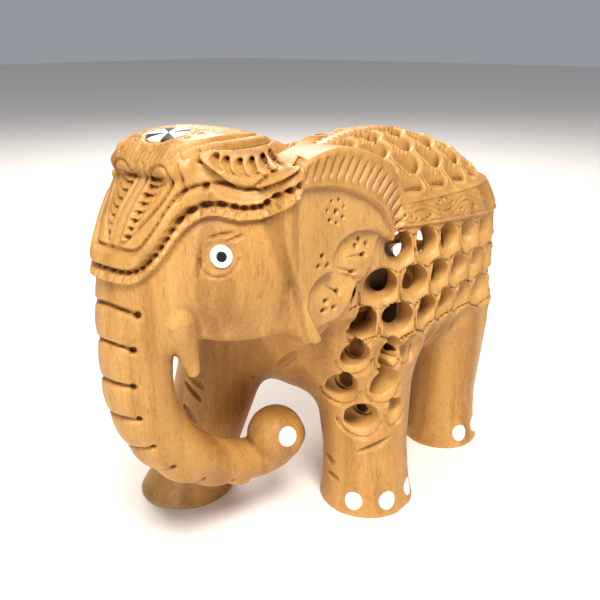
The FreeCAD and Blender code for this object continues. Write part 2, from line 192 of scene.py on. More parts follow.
LEGS = {  # hip, foot centre, radius at the hip, at the ankle, at the sole
    "front_left": ((-0.5, -16, 48), (-2.5, -20.5), 14, 10.8, 12.3),
    "front_right": ((-14.5, 16, 48), (-31.5, 20.5), 13, 10.0, 12.3),
    "hind_left": ((44.5, -17, 44), (39.0, -20.5), 13, 9.3, 11.0),
    "hind_right": ((51.5, 17, 44), (53.5, 20.5), 13, 9.3, 11.0),
}
for hip, (fx, fy), r_hip, r_ankle, r_sole in LEGS.values():
    hip, foot = np.array(hip, float), np.array([fx, fy, 0.0])
    ankle = hip + (foot - hip) * (1 - 9 / hip[2])
    box = (min(hip[0], fx) - 22, min(hip[1], fy) - 20, -2), (max(hip[0], fx) + 22, max(hip[1], fy) + 20, 68)
    cut, x, y, z = block(*box)
    limb = soft_min(taper(x, y, z, hip, ankle, r_hip, r_ankle),
                    taper(x, y, z, ankle, (fx, fy, -3), r_ankle, r_sole + 1.1), 3)
    wood[cut] = soft_min(wood[cut], limb, 6)
print("body and legs done")

# %% [markdown]
# ## Head, trunk and ears
# The head is sawn three times, like a bandsawn toy: to its side outline, its plan and its front
# outline, and the corners between the cuts are rounded.  Cheeks are added as two ellipsoids.

# %% Head
HEAD_SIDE = [(-46, 101.2), (-50, 100.2), (-53.2, 98.9), (-54.7, 96.9), (-54.7, 94.8), (-53.7, 92.5), (-55.3, 89.5),
             (-57.7, 85.5), (-60.6, 81), (-63.9, 76.2), (-65.0, 72), (-64.5, 68), (-60.5, 60), (-50.5, 60),
             (-38.5, 59), (-26.5, 58), (-14.5, 60), (-8.5, 72), (-10.5, 86), (-18.5, 92.0), (-26.5, 97),
             (-33, 100.6), (-41, 101.8)]
HEAD_PLAN = [(-65.5, 0), (-65.0, -4), (-62, -6.8), (-57, -8.8), (-52.5, -10.5), (-47.5, -16), (-38.5, -21.5),
             (-28.5, -25.5), (-16.5, -27), (-4.5, -26), (-4.5, 26), (-16.5, 27), (-28.5, 25.5),
             (-38.5, 21.5), (-47.5, 16), (-52.5, 10.5), (-57, 8.8), (-62, 6.8), (-65.0, 4)]
HEAD_FRONT = [(0, 102), (-7, 101.7), (-12, 99.6), (-16.5, 95.8), (-21, 91.3), (-25, 87), (-27.5, 80), (-27, 62),
              (-20, 50), (20, 50), (27, 62), (27.5, 80), (25, 87), (21, 91.3), (16.5, 95.8), (12, 99.6), (7, 101.7)]
cut, x, y, z = block((-68, -36, 50), (4, 36, 103))
side = outline(x[:, :, 0], z[0], HEAD_SIDE)[:, None, :]
plan = outline(x[:, :, 0], y[:, :, 0], HEAD_PLAN)[:, :, None]
front = outline(y[0, :, :], z[0, :, :], HEAD_FRONT)[None, :, :]
head = soft_max(soft_max(side, plan, 3), front, 3)
cheeks = soft_min(ellipsoid(x, y, z, (-36.5, -9, 74), (20, 14.5, 17)),
                  ellipsoid(x, y, z, (-36.5, 9, 74), (20, 14.5, 17)), 1)
wood[cut] = soft_min(wood[cut], soft_min(head, cheeks, 5), 5)

# %% Trunk
TRUNK = np.array([(-51.5, 0, 80, 8.8), (-57.5, 0, 66, 8.5), (-60, 0, 56, 7.5), (-59.8, 0, 46, 7.1),
                  (-56.5, 0, 37, 6.8), (-50.5, -1, 28.5, 6.2), (-41.5, -2, 22, 5.6),
                  (-32.5, -4, 18.5, 5.2), (-25, -6.5, 18.5, 4.8), (-21, -8, 22, 4.5)])
LINE = through(TRUNK, closed=False, fine=6)
cut, x, y, z = block((-69, -18, 8), (-10, 14, 92))
rod = np.full(wood[cut].shape, 30, np.float32)
for a, b in zip(LINE, LINE[1:]):
    low, high = np.minimum(a, b)[:3] - 15, np.maximum(a, b)[:3] + 15
    part, px, py, pz = block(low, high)
    inner = tuple(slice(max(p.start, c.start) - c.start, min(p.stop, c.stop) - c.start)
                  for p, c in zip(part, cut))
    local = taper(x[inner[0]], y[:, inner[1]], z[:, :, inner[2]], a[:3], b[:3], a[3], b[3])
    rod[inner] = np.minimum(rod[inner], local)
wood[cut] = soft_min(wood[cut], rod, 5)
join(lambda x, y, z: ellipsoid(x, y, z, (-24.8, -7, 23.3), (7.4, 7.2, 7.4)), (-35, -17, 12), (-14, 3, 34), 0.7)

# %% Lip and tusk knobs
# The short tusk is only hinted at: a rounded wedge on each side of the mouth, behind the trunk.
for hand in (-1, 1):
    join(lambda x, y, z: taper(x, y, z, (-55.5, hand * 8.2, 65.0), (-52.0, hand * 8.0, 52.0), 3.9, 1.6),
         (-64, min(hand * 2, hand * 15), 45), (-44, max(hand * 2, hand * 15), 72), 0.8)

# %% Ears
EAR = [(-41.5, 91), (-36.5, 96), (-27.5, 98), (-17.5, 96), (-9.5, 91), (-5.5, 84), (-7.5, 77),
       (-16.5, 69), (-24.5, 61), (-32, 56), (-35.5, 59), (-37.5, 68), (-41.5, 80)]


def ear_face(x):
    """How far out the ear's face stands: it splays out towards its rear edge."""
    return 26.5 + 0.12 * (x + 40.5)


for hand in (-1, 1):
    cut, x, y, z = block((-45, min(hand * 12, hand * 34), 50), (0, max(hand * 12, hand * 34), 101))
    plate = outline(x[:, :, 0], z[0], EAR)[:, None, :]
    plate = soft_max(plate, hand * y - ear_face(x), 1.2)
    plate = soft_max(plate, ear_face(x) - 10 - hand * y, 1)
    wood[cut] = soft_min(wood[cut], plate, 1.5)
cut, x, y, z = block((-80, -80, -5), (80, 80, 3))
wood[cut] = np.maximum(wood[cut], -z)
print("head, trunk and ears done")

# %% [markdown]
# ## Hollow and inner figure
# Carvers of this kind of figure hollow it through the holes and leave a smaller elephant standing on the
# belly floor.  The hollow is the barrel again, a wall's thickness smaller, and the little figure is left
# inside it.  Everything after this is cut away, so a copy of the uncut block is kept: the distance to
# that copy later says how deep a cut is, and a fresh cut is paler.

# %% Hollow
blank = wood.copy()
WALL, FLOOR = 6.0, 37.0
low, high = (-8, -30, 34), (66, 30, 96)
cut, x, y, z = block(low, high)
room = soft_max(barrel(x, y, z, -WALL), FLOOR - z, 2)
room = soft_max(room, -3 - x, 4)
in_low, in_high = [np.array(c) * 1000 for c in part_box("inner_elephant")]
small = soft_min(ellipsoid(x, y, z, (20, 0, 56), (14, 8.2, 8.2)),
                 ellipsoid(x, y, z, (5.5, 0, 59), (6.2, 5.4, 6.4)), 4)
for sx, sy in ((12, -5), (12, 5), (28, -5), (28, 5)):
    small = soft_min(small, taper(x, y, z, (sx, sy, 54), (sx, sy, FLOOR - 2), 4.2, 3.2), 2)
small = soft_min(small, taper(x, y, z, (1, 0, 58), (-0.5, 0, 46), 2.6, 1.5), 2)
for hand in (-1, 1):
    small = soft_min(small, ellipsoid(x, y, z, (8.5, hand * 6.4, 59), (3.6, 1.3, 4.8)), 1)
wood[cut] = np.maximum(wood[cut], -room)
inner = np.zeros(wood.shape, bool)
inner[cut] = (small < 0) & (room < 0)
wood[cut] = np.minimum(wood[cut], np.maximum(small, room - 0.5))
print("hollow cut; inner figure takes", int(inner.sum() * STEP ** 3), "cubic mm")

# %% [markdown]
# ## A lattice of scales
# The pierced pattern is a lattice of staggered cells, like fish scales: a hole above, a spoon-shaped lip
# below it, and a thin V cut round each cell.  The lattice is laid on the flank with two measures: the
# way round the torso, and the height.  The nearest cell centre gives a point's own cell, and half the
# difference to the second nearest is the distance to the edge between them.

# %% The way round the torso
turn = np.linspace(0, np.pi, 721)
rim_x = np.sign(np.cos(turn)) * np.abs(np.cos(turn)) ** (2 / PLAN_POWER) * TORSO_RADII[0]
rim_y = np.abs(np.sin(turn)) ** (2 / PLAN_POWER) * TORSO_RADII[1]
rim_turn = np.arctan2(rim_y, rim_x)
rim_way = np.concatenate([[0], np.cumsum(np.hypot(np.diff(rim_x), np.diff(rim_y)))])
print("half way round the torso:", round(rim_way[-1], 1), "mm")


def way_round(x, y):
    """Arc length along the plan outline from the middle of the rump, the same on both sides."""
    return np.interp(np.arctan2(np.abs(y), x - TORSO[0]), rim_turn, rim_way)


rise = np.linspace(0, 1, 200)
roof_y = TORSO_RADII[1] * rise
roof_z = TORSO_RADII[2] * (1 - rise ** SIDE_POWER) ** (1 / SIDE_POWER)
roof_way = np.concatenate([[0], np.cumsum(np.hypot(np.diff(roof_y), np.diff(roof_z)))])


def way_down(x, y):
    """Arc length from the spine down over the back, where the section is the barrel's."""
    far = np.clip(np.abs(x - TORSO[0]) / TORSO_RADII[0], 0, 0.999)
    half = (1 - far ** PLAN_POWER) ** (1 / PLAN_POWER)
    return np.interp(np.clip(np.abs(y) / (TORSO_RADII[1] * half), 0, 1), rise, roof_way)


def cells(a, b, pitch, rows, lift):
    """Staggered cells: gives the place inside the own cell, its row, its column and the distance to
    the cell's edge.  Candidates are the nearest centres of the three nearest rows."""
    r0 = np.round(b / rows)
    best = [np.full(a.shape, 1e9, np.float32) for _ in range(2)]
    mine = [np.zeros(a.shape, np.float32) for _ in range(4)]
    second = [np.zeros(a.shape, np.float32) for _ in range(2)]
    for shift in (-1, 0, 1):
        row = r0 + shift
        off = 0.5 * pitch * np.mod(row, 2)
        for step in (-0.5, 0.5):
            column = np.floor((a - off) / pitch) + 0.5 + step
            u, v = a - off - column * pitch, b - row * rows
            far = u * u + v * v * lift
            first = far < best[0]
            nxt = (~first) & (far < best[1])
            second[0] = np.where(first, mine[0], np.where(nxt, u, second[0]))
            second[1] = np.where(first, mine[1], np.where(nxt, v, second[1]))
            best[1] = np.where(first, best[0], np.where(nxt, far, best[1]))
            best[0] = np.where(first, far, best[0])
            for k, value in enumerate((u, v, row, column)):
                mine[k] = np.where(first, value, mine[k])
    gap = np.hypot(mine[0] - second[0], (mine[1] - second[1]) * lift ** 0.5)
    edge = (best[1] - best[0]) / (2 * gap + 1e-6)
    return mine[0], mine[1], mine[2], mine[3], edge


def scale_cut(u, v, edge, wide, tall):
    """Depth of wood taken off a cell, and the level of its hole (below 1 inside).  A spoon is sunk
    into the lower part, the hole is an oval in the upper part, and the sides fall to the V cut."""
    spoon = (u / (wide * 0.49)) ** 2 + ((v + 0.35) / (tall * 0.57)) ** 2
    depth = 2.7 * np.clip(1 - spoon, 0, 1)
    lower = smooth(-v, -0.6, 0.6)
    bevel = 0.35 * np.clip(1 - edge / 1.2, 0, 1) + (0.5 + 1.1 * lower) * np.clip(1 - edge / 0.40, 0, 1)
    hole = np.sqrt((u / (wide * 0.45)) ** 2 + ((v - 1.0) / (tall * 0.42)) ** 2)
    return depth + bevel, hole


# %% Flank lattice
ROW_PITCH, COLUMN_PITCH, FIRST_ROW, SLOPE = 8.7, 11.4, 71.4, 0.10
HEM_LOW, HEM_HIGH = 76.3, 81.6


def hem_low(x):
    return HEM_LOW - 0.10 * x


def hem_high(x):
    return HEM_HIGH - 0.03 * x


def smooth(value, a, b):
    """0 below a, 1 above b, and an S between."""
    t = np.clip((value - a) / (b - a), 0, 1)
    return t * t * (3 - 2 * t)


cut, x, y, z = block((-22, -34, 30), (69, 34, 78))
near = (wood[cut] < 3) & (barrel(x, y, z, -WALL - 2) > -1.5)
near &= (z < hem_low(x) + 1) & (np.abs(y) > 2 - 40 * (x > 40))
i, j, k = np.nonzero(near)
px, py, pz = x[i, 0, 0], y[0, j, 0], z[0, 0, k]
a = way_round(px, py)
b = FIRST_ROW - SLOPE * (px + 4.5) - pz
u, v, row, column, edge = cells(a, b, COLUMN_PITCH, ROW_PITCH, 1.5)
depth, hole = scale_cut(u, -v, edge, COLUMN_PITCH * 0.94, ROW_PITCH * 1.06)
start = np.select([row <= 0, row == 1, row == 2, row == 3], [-9, -20, -17, -8.5], 99)
alive = smooth(px, start - 0.5, start + 0.5) * (row >= 0) * smooth(hem_low(px) - pz, -0.2, 0.4)
shallow = row == 3
depth = np.where(shallow, 1.9 * np.clip(1 - (u / 4.6) ** 2 - ((-v - 0.6) / 3.6) ** 2, 0, 1), depth) * alive
f = wood[cut][near] + depth
depth_in = -barrel(px, py, pz)
bore = (hole - 1) * 3.6 + 0.09 * np.clip(depth_in, 0, 9)
bore = np.where(shallow | (alive < 0.5) | (depth_in > WALL + 3), 9, bore)
f = soft_max(f, -bore, 0.8)
block_wood = wood[cut]
keep_inner = inner[cut][near]
block_wood[near] = np.where(keep_inner, block_wood[near], f)
wood[cut] = block_wood
print("flank lattice cut at", len(f), "points")

# %% Shoulder pits
PITS = [((-14.2, 26.4, 54.8), 3.4, 8), ((-14.9, 24.3, 46.2), 3.4, 7.5), ((-15.0, 21.0, 36.6), 3.4, 7),
        ((-7.0, 27.8, 37.2), 3.4, 6.5), ((-11.3, 25.0, 27.8), 3.4, 7), ((-6.8, 28.9, 46.2), 3.2, 5),
        ((-0.8, 31.0, 46.0), 2.6, 2.4), ((-3.8, 29.4, 29.2), 2.4, 2.2)]
for hand in (-1, 1):
    for (sx, sy, sz), wide, deep in PITS:
        cut, x, y, z = block((sx - 9, min(hand * (sy - 14), hand * (sy + 6)), sz - 8),
                             (sx + 9, max(hand * (sy - 14), hand * (sy + 6)), sz + 8))
        turn = np.clip((-6 - sx) / 14, 0, 0.75)
        out_x, out_y = -math.sin(turn), math.cos(turn)
        u = (x - sx) * out_y - (hand * y - sy) * out_x
        inward = -((x - sx) * out_x + (hand * y - sy) * out_y)
        v = z - sz
        hole = np.sqrt((u / wide) ** 2 + ((v - 0.6) / (wide * 1.12)) ** 2)
        pit = soft_max((hole - 1) * wide * (1 - 0.03 * np.clip(inward, 0, 9)), inward - deep, 2)
        skin = np.abs(wood[cut]) < 3.2
        spoon = 1.8 * np.clip(1 - (u / (wide + 0.5)) ** 2 - ((v + 1.5) / (wide + 0.9)) ** 2, 0, 1)
        rim = 0.9 * np.clip(1 - np.abs(np.sqrt((u / (wide + 0.9)) ** 2 + ((v + 0.6) / (wide + 1.5)) ** 2) - 1) / 0.10, 0, 1)
        wood[cut] = soft_max(wood[cut] + (spoon + rim * smooth(-v, 0.2, 1.2)) * skin, -pit, 0.7)

# %% [markdown]
# ## The blanket's roof
# The same cells run over the back, laid along the spine and down over the side.

# %% Roof lattice
cut, x, y, z = block((-12, -34, 70), (69, 34, 96))
near = (np.abs(wood[cut]) < WALL + 3) & (barrel(x, y, z, -WALL - 2) > -1) & (z > hem_high(x) - 1)
i, j, k = np.nonzero(near)
px, py, pz = x[i, 0, 0], y[0, j, 0], z[0, 0, k]
down = way_down(px, py)
u, v, row, column, edge = cells(px - 3, down - 5.6, 11.2, 7.0, 2.2)
depth, hole = scale_cut(u, -v, edge, 10.2, 7.6)
top = smooth(pz, hem_high(px) + 0.4, hem_high(px) + 1.2) * smooth(px, -8.5, -6.5)
alive = top * smooth(down, 2.0, 2.6)
inside = (row >= 0) & (row <= 3) & (column * 11.2 + 3 > -7)
depth_in = -barrel(px, py, pz)
bore = (hole - 1) * 3.0 + 0.08 * np.clip(depth_in, 0, 9)
bore = np.where(inside & (alive > 0.5) & (depth_in < WALL + 3), bore, 9)
f = soft_max(wood[cut][near] + depth * 0.85 * alive, -bore, 0.8)
block_wood = wood[cut]
keep_inner = inner[cut][near]
block_wood[near] = np.where(keep_inner, block_wood[near], f)
wood[cut] = block_wood
print("roof lattice cut at", len(f), "points")

# %% [markdown]
# ## Strokes
# Most of the decoration is three marks: a drilled dot, a comma (a drilled dot with a thin tail) and a
# V groove.  Each is a depth that depends on the distance to a point or a line, measured on the surface
# with two coordinates that suit the place.

# %% Marks
def dot(u, v, at, radius, depth=1.5):
    """A drilled dot: full depth inside the radius, with a fifth of a millimetre of slope."""
    return depth * np.clip((radius - np.hypot(u - at[0], v - at[1])) / 0.22 + 0.5, 0, 1)


def groove(u, v, points, wide, depth, tail=1.0):
    """A V groove along a line of points.  Its width and depth run to the tail's share at the end, and
    the depth falls straight from the line to the groove's edge."""
    points = np.array(points, float)
    run = np.hypot(*(points[1:] - points[:-1]).T)
    way = np.concatenate([[0], np.cumsum(run)]) / run.sum()
    best = np.zeros(np.broadcast(u, v).shape, np.float32)
    for a, b, s, e in zip(points, points[1:], way, way[1:]):
        leg = b - a
        t = np.clip(((u - a[0]) * leg[0] + (v - a[1]) * leg[1]) / (leg @ leg + 1e-9), 0, 1)
        share = 1 + (tail - 1) * (s + (e - s) * t)
        far = np.hypot(u - a[0] - leg[0] * t, v - a[1] - leg[1] * t)
        best = np.maximum(best, depth * share * np.clip(1 - far / (wide * share), 0, 1))
    return best


def lens(u, v, a, b, wide, depth):
    """A cut that is widest in the middle and pointed at both ends, as a knife rocks in and out."""
    a, b = np.array(a, float), np.array(b, float)
    leg = b - a
    t = np.clip(((u - a[0]) * leg[0] + (v - a[1]) * leg[1]) / (leg @ leg), 0, 1)
    far = np.hypot(u - a[0] - leg[0] * t, v - a[1] - leg[1] * t)
    swell = np.sqrt(np.clip(4 * t * (1 - t), 0.02, 1))
    return depth * swell * np.clip(1 - far / (wide * swell), 0, 1)


def comma(u, v, head_at, tail_to, radius=0.62, depth=1.3):
    """A drilled dot whose tail thins to nothing."""
    return np.maximum(dot(u, v, head_at, radius, depth),
                      groove(u, v, [head_at, tail_to], radius * 0.95, depth * 0.85, 0.15))


def away_from(u, v, points):
    """Distance to a line of points, the share of the way along it, and which side: above zero on the
    left of its direction."""
    points = np.array(points, float)
    run = np.hypot(*(points[1:] - points[:-1]).T)
    way = np.concatenate([[0], np.cumsum(run)])
    best = np.full(np.broadcast(u, v).shape, 1e9, np.float32)
    along, hand = np.zeros_like(best), np.zeros_like(best)
    for a, b, s in zip(points, points[1:], way):
        leg = b - a
        size = math.hypot(*leg)
        t = np.clip(((u - a[0]) * leg[0] + (v - a[1]) * leg[1]) / (size * size), 0, 1)
        far = np.hypot(u - a[0] - leg[0] * t, v - a[1] - leg[1] * t)
        side = leg[0] * (v - a[1]) - leg[1] * (u - a[0])
        closer = far < best
        best = np.where(closer, far, best)
        along = np.where(closer, s + size * t, along)
        hand = np.where(closer, side, hand)
    return best, along, np.where(hand >= 0, 1, -1), way[-1]


def carve(low, high, marks, reach=2.4, where=None):
    """Take marks(x, y, z) off the wood, at the grid points near the surface inside a box."""
    cut, x, y, z = block(low, high)
    part = wood[cut]
    near = np.abs(part) < reach
    near &= ~inner[cut]
    if where is not None:
        near &= where(x, y, z)
    i, j, k = np.nonzero(near)
    px, py, pz = x[i, 0, 0], y[0, j, 0], z[0, 0, k]
    part[near] += marks(px, py, pz).astype(np.float32)
    wood[cut] = part
    return len(i)


# %% [markdown]
# ## The hem
# A band stands proud of the back where the pierced roof meets the pierced flank.  A vine runs along it
# in an S, with a fan of commas in each bend and a fine line at each border.

# %% Hem
def hem_marks(x, y, z):
    a = way_round(x, y)
    low, high = hem_low(x), hem_high(x)
    v = (z - low) / (high - low)
    tall = high - low
    proud = 1.0 * smooth(v, -0.02, 0.03) * (1 - smooth(v, 0.97, 1.05)) * smooth(x, -9, -7.5)
    wave = 24.0
    phase = 2 * np.pi * (a - 4) / wave
    vine = 0.5 + 0.20 * np.sin(phase)
    depth = 0.55 * np.clip(1 - np.abs(np.abs(v - vine) * tall - 0.62) / 0.34, 0, 1)
    for line in (0.13, 0.90):
        depth = np.maximum(depth, 0.6 * np.clip(1 - np.abs(v - line) * tall / 0.42, 0, 1))
    local = np.mod(a - 4, wave)
    for base, sign in ((6.0, -1), (18.0, 1)):
        root = np.array([base, 0.5 * 7 - sign * 0.2])
        for fan in np.linspace(-62, 62, 5):
            t = math.radians(fan)
            tip = root + sign * np.array([math.sin(t) * 4.6, 0.2 + math.cos(t) * 2.2])
            tail = root + sign * np.array([math.sin(t) * 1.9, 0.2 + math.cos(t) * 0.5])
            depth = np.maximum(depth, comma(local, v * 7, tip, tail, 0.46, 0.9))
    inside = smooth(v, 0.05, 0.1) * (1 - smooth(v, 0.95, 1.0)) * smooth(x, -9, -7.5)
    return -proud + depth * inside


print("hem carved at", carve((-12, -36, 66), (69, 36, 86), hem_marks, 2.2,
                             lambda x, y, z: barrel(x, y, z) > -2.6))


# %% [markdown]
# ## The trunk
# Each ring is a knife cut across the front of the trunk that ends in a drilled dot on both sides, and
# the wood between two rings is rounded, so the front looks like a stack of soft steps.

# %% Trunk rings
bend = LINE[:, :3]
steps = np.sqrt((np.diff(bend, axis=0) ** 2).sum(1))
trunk_way = np.concatenate([[0], np.cumsum(steps)])
print("trunk centre line:", round(trunk_way[-1], 1), "mm")


def along_trunk(x, y, z):
    """The way along the centre line to the nearest point of it, the angle round it from its outer
    side, and the distance from it."""
    best = np.full(x.shape, 1e9, np.float32)
    way, outer = np.zeros_like(best), np.zeros_like(best)
    for a, b, s in zip(bend, bend[1:], trunk_way):
        leg = b - a
        size = math.sqrt(leg @ leg)
        t = np.clip(((x - a[0]) * leg[0] + (y - a[1]) * leg[1] + (z - a[2]) * leg[2]) / size ** 2, 0, 1)
        dx, dy, dz = x - a[0] - leg[0] * t, y - a[1] - leg[1] * t, z - a[2] - leg[2] * t
        far = np.sqrt(dx * dx + dy * dy + dz * dz)
        out_x, out_z = leg[2] / size, -leg[0] / size
        closer = far < best
        best = np.where(closer, far, best)
        way = np.where(closer, s + size * t, way)
        outer = np.where(closer, np.arctan2(np.abs(dy), dx * out_x + dz * out_z), outer)
    return way, outer, best


RINGS = [15.6, 22.2, 29.4, 36.2, 43.8, 52, 61.5, 71]


def trunk_marks(x, y, z):
    way, angle, far = along_trunk(x, y, z)
    depth = np.zeros(x.shape, np.float32)
    arc = angle * far
    edges = np.array([6.0] + RINGS + [78.0])
    for a, b in zip(edges, edges[1:]):
        t = np.clip((way - a) / (b - a), 0, 1)
        bulge = (0.42 + 0.5 * smooth(way, 38, 52)) * 4 * t * (1 - t) * ((way >= a) & (way < b))
        depth -= bulge * (1 - smooth(angle, 0.5, 1.1)) * smooth(way, 12, 20)
    for ring in RINGS:
        reach = 0.78 * far
        level = way - ring + 0.5 * (1 - (arc / reach) ** 2)
        line = 1.25 * np.clip(1 - np.abs(level) / 0.5, 0, 1) * (arc < reach)
        depth = depth + np.maximum(line, dot(arc - reach, way, (0, ring), 0.62, 1.4))
    return depth * (way > 10) * (way < 76)


print("trunk carved at", carve((-69, -18, 8), (-20, 14, 76), trunk_marks, 2.2))

# %% [markdown]
# ## The headcloth
# A cloth lies over the crown and comes down to a point above the trunk.  Its border is a smooth roll
# over a row of drilled pits, and it stands a millimetre proud of the brow and cheek.  The border is laid
# out with the way round the head and the height, so one line of points serves both sides.

# %% Way round the head
head_rim = through([p for p in HEAD_PLAN if p[1] <= 0 and p[0] < -4], closed=False)
head_rim = np.vstack([head_rim])
head_turn = np.arctan2(np.abs(head_rim[:, 1]), -(head_rim[:, 0] + 20.5))
head_way = np.concatenate([[0], np.cumsum(np.hypot(*np.diff(head_rim, axis=0).T))])


def round_head(x, y):
    """Arc length along the head's plan outline from the middle of the trunk, the same on both sides."""
    return np.interp(np.arctan2(np.abs(y), -(x + 20.5)), head_turn, head_way)


CLOTH = through([(-4, 74.2), (0.4, 74.2), (5, 74.1), (9, 74.7), (12.5, 76.9), (16.7, 81.1), (18.8, 83.9),
                 (21.4, 85.9), (24.5, 86.3), (28.9, 85.3), (33.3, 85.6), (37.1, 88.2), (40.2, 89.9),
                 (44, 92)], closed=False, fine=4)
EAR_FRONT = -40.5


def cloth_marks(x, y, z):
    u = round_head(x, y)
    far, along, hand, whole = away_from(u, z, CLOTH)
    up = far * hand
    on_head = 1 - smooth(x, -39.5, -37.5)
    proud = 1.15 * smooth(up, -0.12, 0.12) * (1 - smooth(z, 95.0, 98.0))
    pitch = 2.15
    place = np.mod(along, pitch) - pitch / 2
    pit = 1.1 * np.clip((0.62 - np.hypot(place * 0.8, up - 2.35)) / 0.25 + 0.5, 0, 1)
    petal = 0.55 * np.clip(1 - np.abs(np.abs(place) - pitch / 2) / 0.5, 0, 1) * smooth(up, 0.35, 0.8)
    petal = petal * (1 - smooth(up, 2.3, 2.7))
    scoop = 0.45 * smooth(up, 1.0, 2.2) * (1 - smooth(up, 2.7, 2.9))
    roll = -0.55 * np.sqrt(np.clip(1 - ((up - 4.35) / 1.55) ** 2, 0, 1))
    inner_groove = 0.85 * np.clip(1 - np.abs(up - 6.1) / 0.55, 0, 1)
    return (-proud + pit + petal + scoop + roll + inner_groove) * on_head


print("headcloth carved at", carve((-69, -34, 66), (-35, 34, 103), cloth_marks, 3.0,
                                   lambda x, y, z: z > 60 + 0 * x))

# %% [markdown]
# ## The brow
# Down the middle of the brow runs a stem; a leaf lies on each side of it, drawn by a groove and filled
# with commas.  Above them a roll crosses the brow, cut into fine strands that run to the rosette.

# %% Brow marks
def brow_marks(x, y, z):
    v = np.abs(y)
    above = smooth(round_cloth(x, y, z), 6.2, 6.8)
    depth = 0.9 * np.clip(1 - np.abs(v - 1.15) / 0.42, 0, 1) * (1 - smooth(z, 95.2, 96.4))
    leaf = [(1.9, 81.2), (3.4, 82.4), (5.4, 85.0), (7.0, 87.8), (8.0, 90.6), (8.3, 93.2), (7.3, 95.3),
            (5.4, 95.6), (3.6, 94.6), (2.2, 92.8)]
    depth = np.maximum(depth, groove(v, z, through(leaf, False, 3), 0.5, 1.0))
    for i in range(8):
        t = i / 7
        head_at = (2.5 + 0.5 * math.sin(3 * t), 92.6 - 10.2 * t)
        reach = 4.6 - 3.4 * t
        depth = np.maximum(depth, groove(v, z, [head_at, (head_at[0] + reach * 0.5, head_at[1] + 0.15),
                                                (head_at[0] + reach, head_at[1] + 1.0)], 0.62, 1.15, 0.25))
        depth = np.maximum(depth, dot(v, z, head_at, 0.5, 1.2))
    strands = 0.32 * np.abs(np.sin(2.6 * (v - 0.05 * (z - 96) ** 2))) * smooth(z, 94.6, 95.6)
    depth = np.maximum(depth, strands * (1 - smooth(v, 8.6, 9.4)) * (1 - smooth(x, -51.5, -50.5)))
    return depth * above * (1 - smooth(v, 9.3, 9.8)) * (1 - smooth(x, -51, -50))


def round_cloth(x, y, z):
    far, _, hand, _ = away_from(round_head(x, y), z, CLOTH)
    return far * hand


print("brow carved at", carve((-66, -12, 78), (-48, 12, 101), brow_marks, 2.4))

# %% [markdown]
# ## The sides of the cloth
# A fan-shaped leaf with six commas hangs over each temple, under two long mouldings.

# %% Temple marks
FAN = [(19.9, 98.2), (20.8, 96.6), (23.6, 94.6), (26.0, 92.6), (28.2, 91.3), (31.8, 91.0), (35.2, 92.3),
       (37.9, 94.2), (40.5, 96.2)]


def temple_marks(x, y, z):
    u = round_head(x, y)
    fan = through(FAN, False, 4)
    far, along, hand, _ = away_from(u, z, fan)
    up = far * hand
    step = 1.3 * smooth(-up, -0.15, 0.15) * (1 - smooth(-up, 0.9, 3.0)) * smooth(u, 19, 20.5)
    depth = step * (1 - smooth(u, 38.5, 40))
    depth = depth + 0.8 * np.clip(1 - np.abs(up - 0.05) / 0.4, 0, 1) * smooth(u, 19.5, 20.5)
    for i, (hu, hz, tu, tz) in enumerate(((23.4, 97.1, 26.4, 94.3), (25.4, 96.5, 28.8, 93.3),
                                          (28.0, 96.0, 31.3, 92.7), (30.4, 95.9, 33.6, 93.0),
                                          (33.0, 96.0, 35.9, 93.9), (35.4, 96.4, 37.7, 95.0))):
        bend_at = (0.5 * (hu + tu) - 0.5, 0.5 * (hz + tz) - 0.5)
        depth = np.maximum(depth, np.maximum(dot(u, z, (hu, hz), 0.55, 1.5),
                                             groove(u, z, [(hu, hz), bend_at, (tu, tz)], 0.85, 1.6, 0.15)))
    depth = np.maximum(depth, groove(u, z, [(20.9, 94.8), (22.3, 93.4), (23.9, 92.6)], 0.6, 1.1, 0.3))
    depth = np.maximum(depth, dot(u, z, (22.0, 91.9), 0.6, 1.4))
    ridge = groove(u, z, [(16.6, 96.0), (17.6, 93.6), (18.0, 91.2), (17.4, 89.6)], 0.55, 0.7)
    return np.maximum(depth, ridge)


print("temples carved at", carve((-57, -34, 86), (-34, 34, 101), temple_marks, 2.6,
                                 lambda x, y, z: (np.abs(y) > 8) & (z < 98.6)))


def crown_marks(x, y, z):
    """Two mouldings along each side of the crown, in plan, that meet in a round end."""
    v = np.abs(y)
    depth = np.zeros(x.shape, np.float32)
    for line in ([(-54, 7.2), (-51, 9.0), (-47, 10.6), (-41, 11.0), (-35, 10.6), (-31.5, 9.2)],
                 [(-52.5, 9.6), (-49.5, 11.4), (-45, 13.0), (-39, 13.4), (-33, 13.0), (-29.5, 11)]):
        depth = np.maximum(depth, groove(x, v, through(line, False, 3), 0.75, 1.35))
    strand = 0.3 * np.abs(np.sin(2.4 * (v + 0.12 * (x + 40)))) * (v < 10) * smooth(x, -43.5, -42)
    strand = strand * (1 - smooth(x, -30, -27))
    depth = np.maximum(depth, strand)
    ring_x, ring_y = -47, 0
    far = np.hypot(x - ring_x, v - ring_y)
    depth = np.maximum(depth, 0.5 * np.clip(1 - np.abs(far - 5.3) / 0.4, 0, 1))
    turn_at = np.arctan2(v, x - ring_x)
    for k in range(1, 6):
        a = math.radians(15 + 30 * k)
        depth = np.maximum(depth, dot(x, v, (ring_x + 6.9 * math.cos(a), 6.9 * math.sin(a)), 0.45, 1.0))
    return depth


print("crown carved at", carve((-57, -17, 93), (-24, 17, 103), crown_marks, 2.2))

# %% [markdown]
# ## Cheek and eye
# Two fine lines mark the upper lid, a longer cut stands in front of the eye, and the socket is a shallow
# dish, so that the disc looks out from under the brow.

# %% Eye marks
EYE_U = 24.8


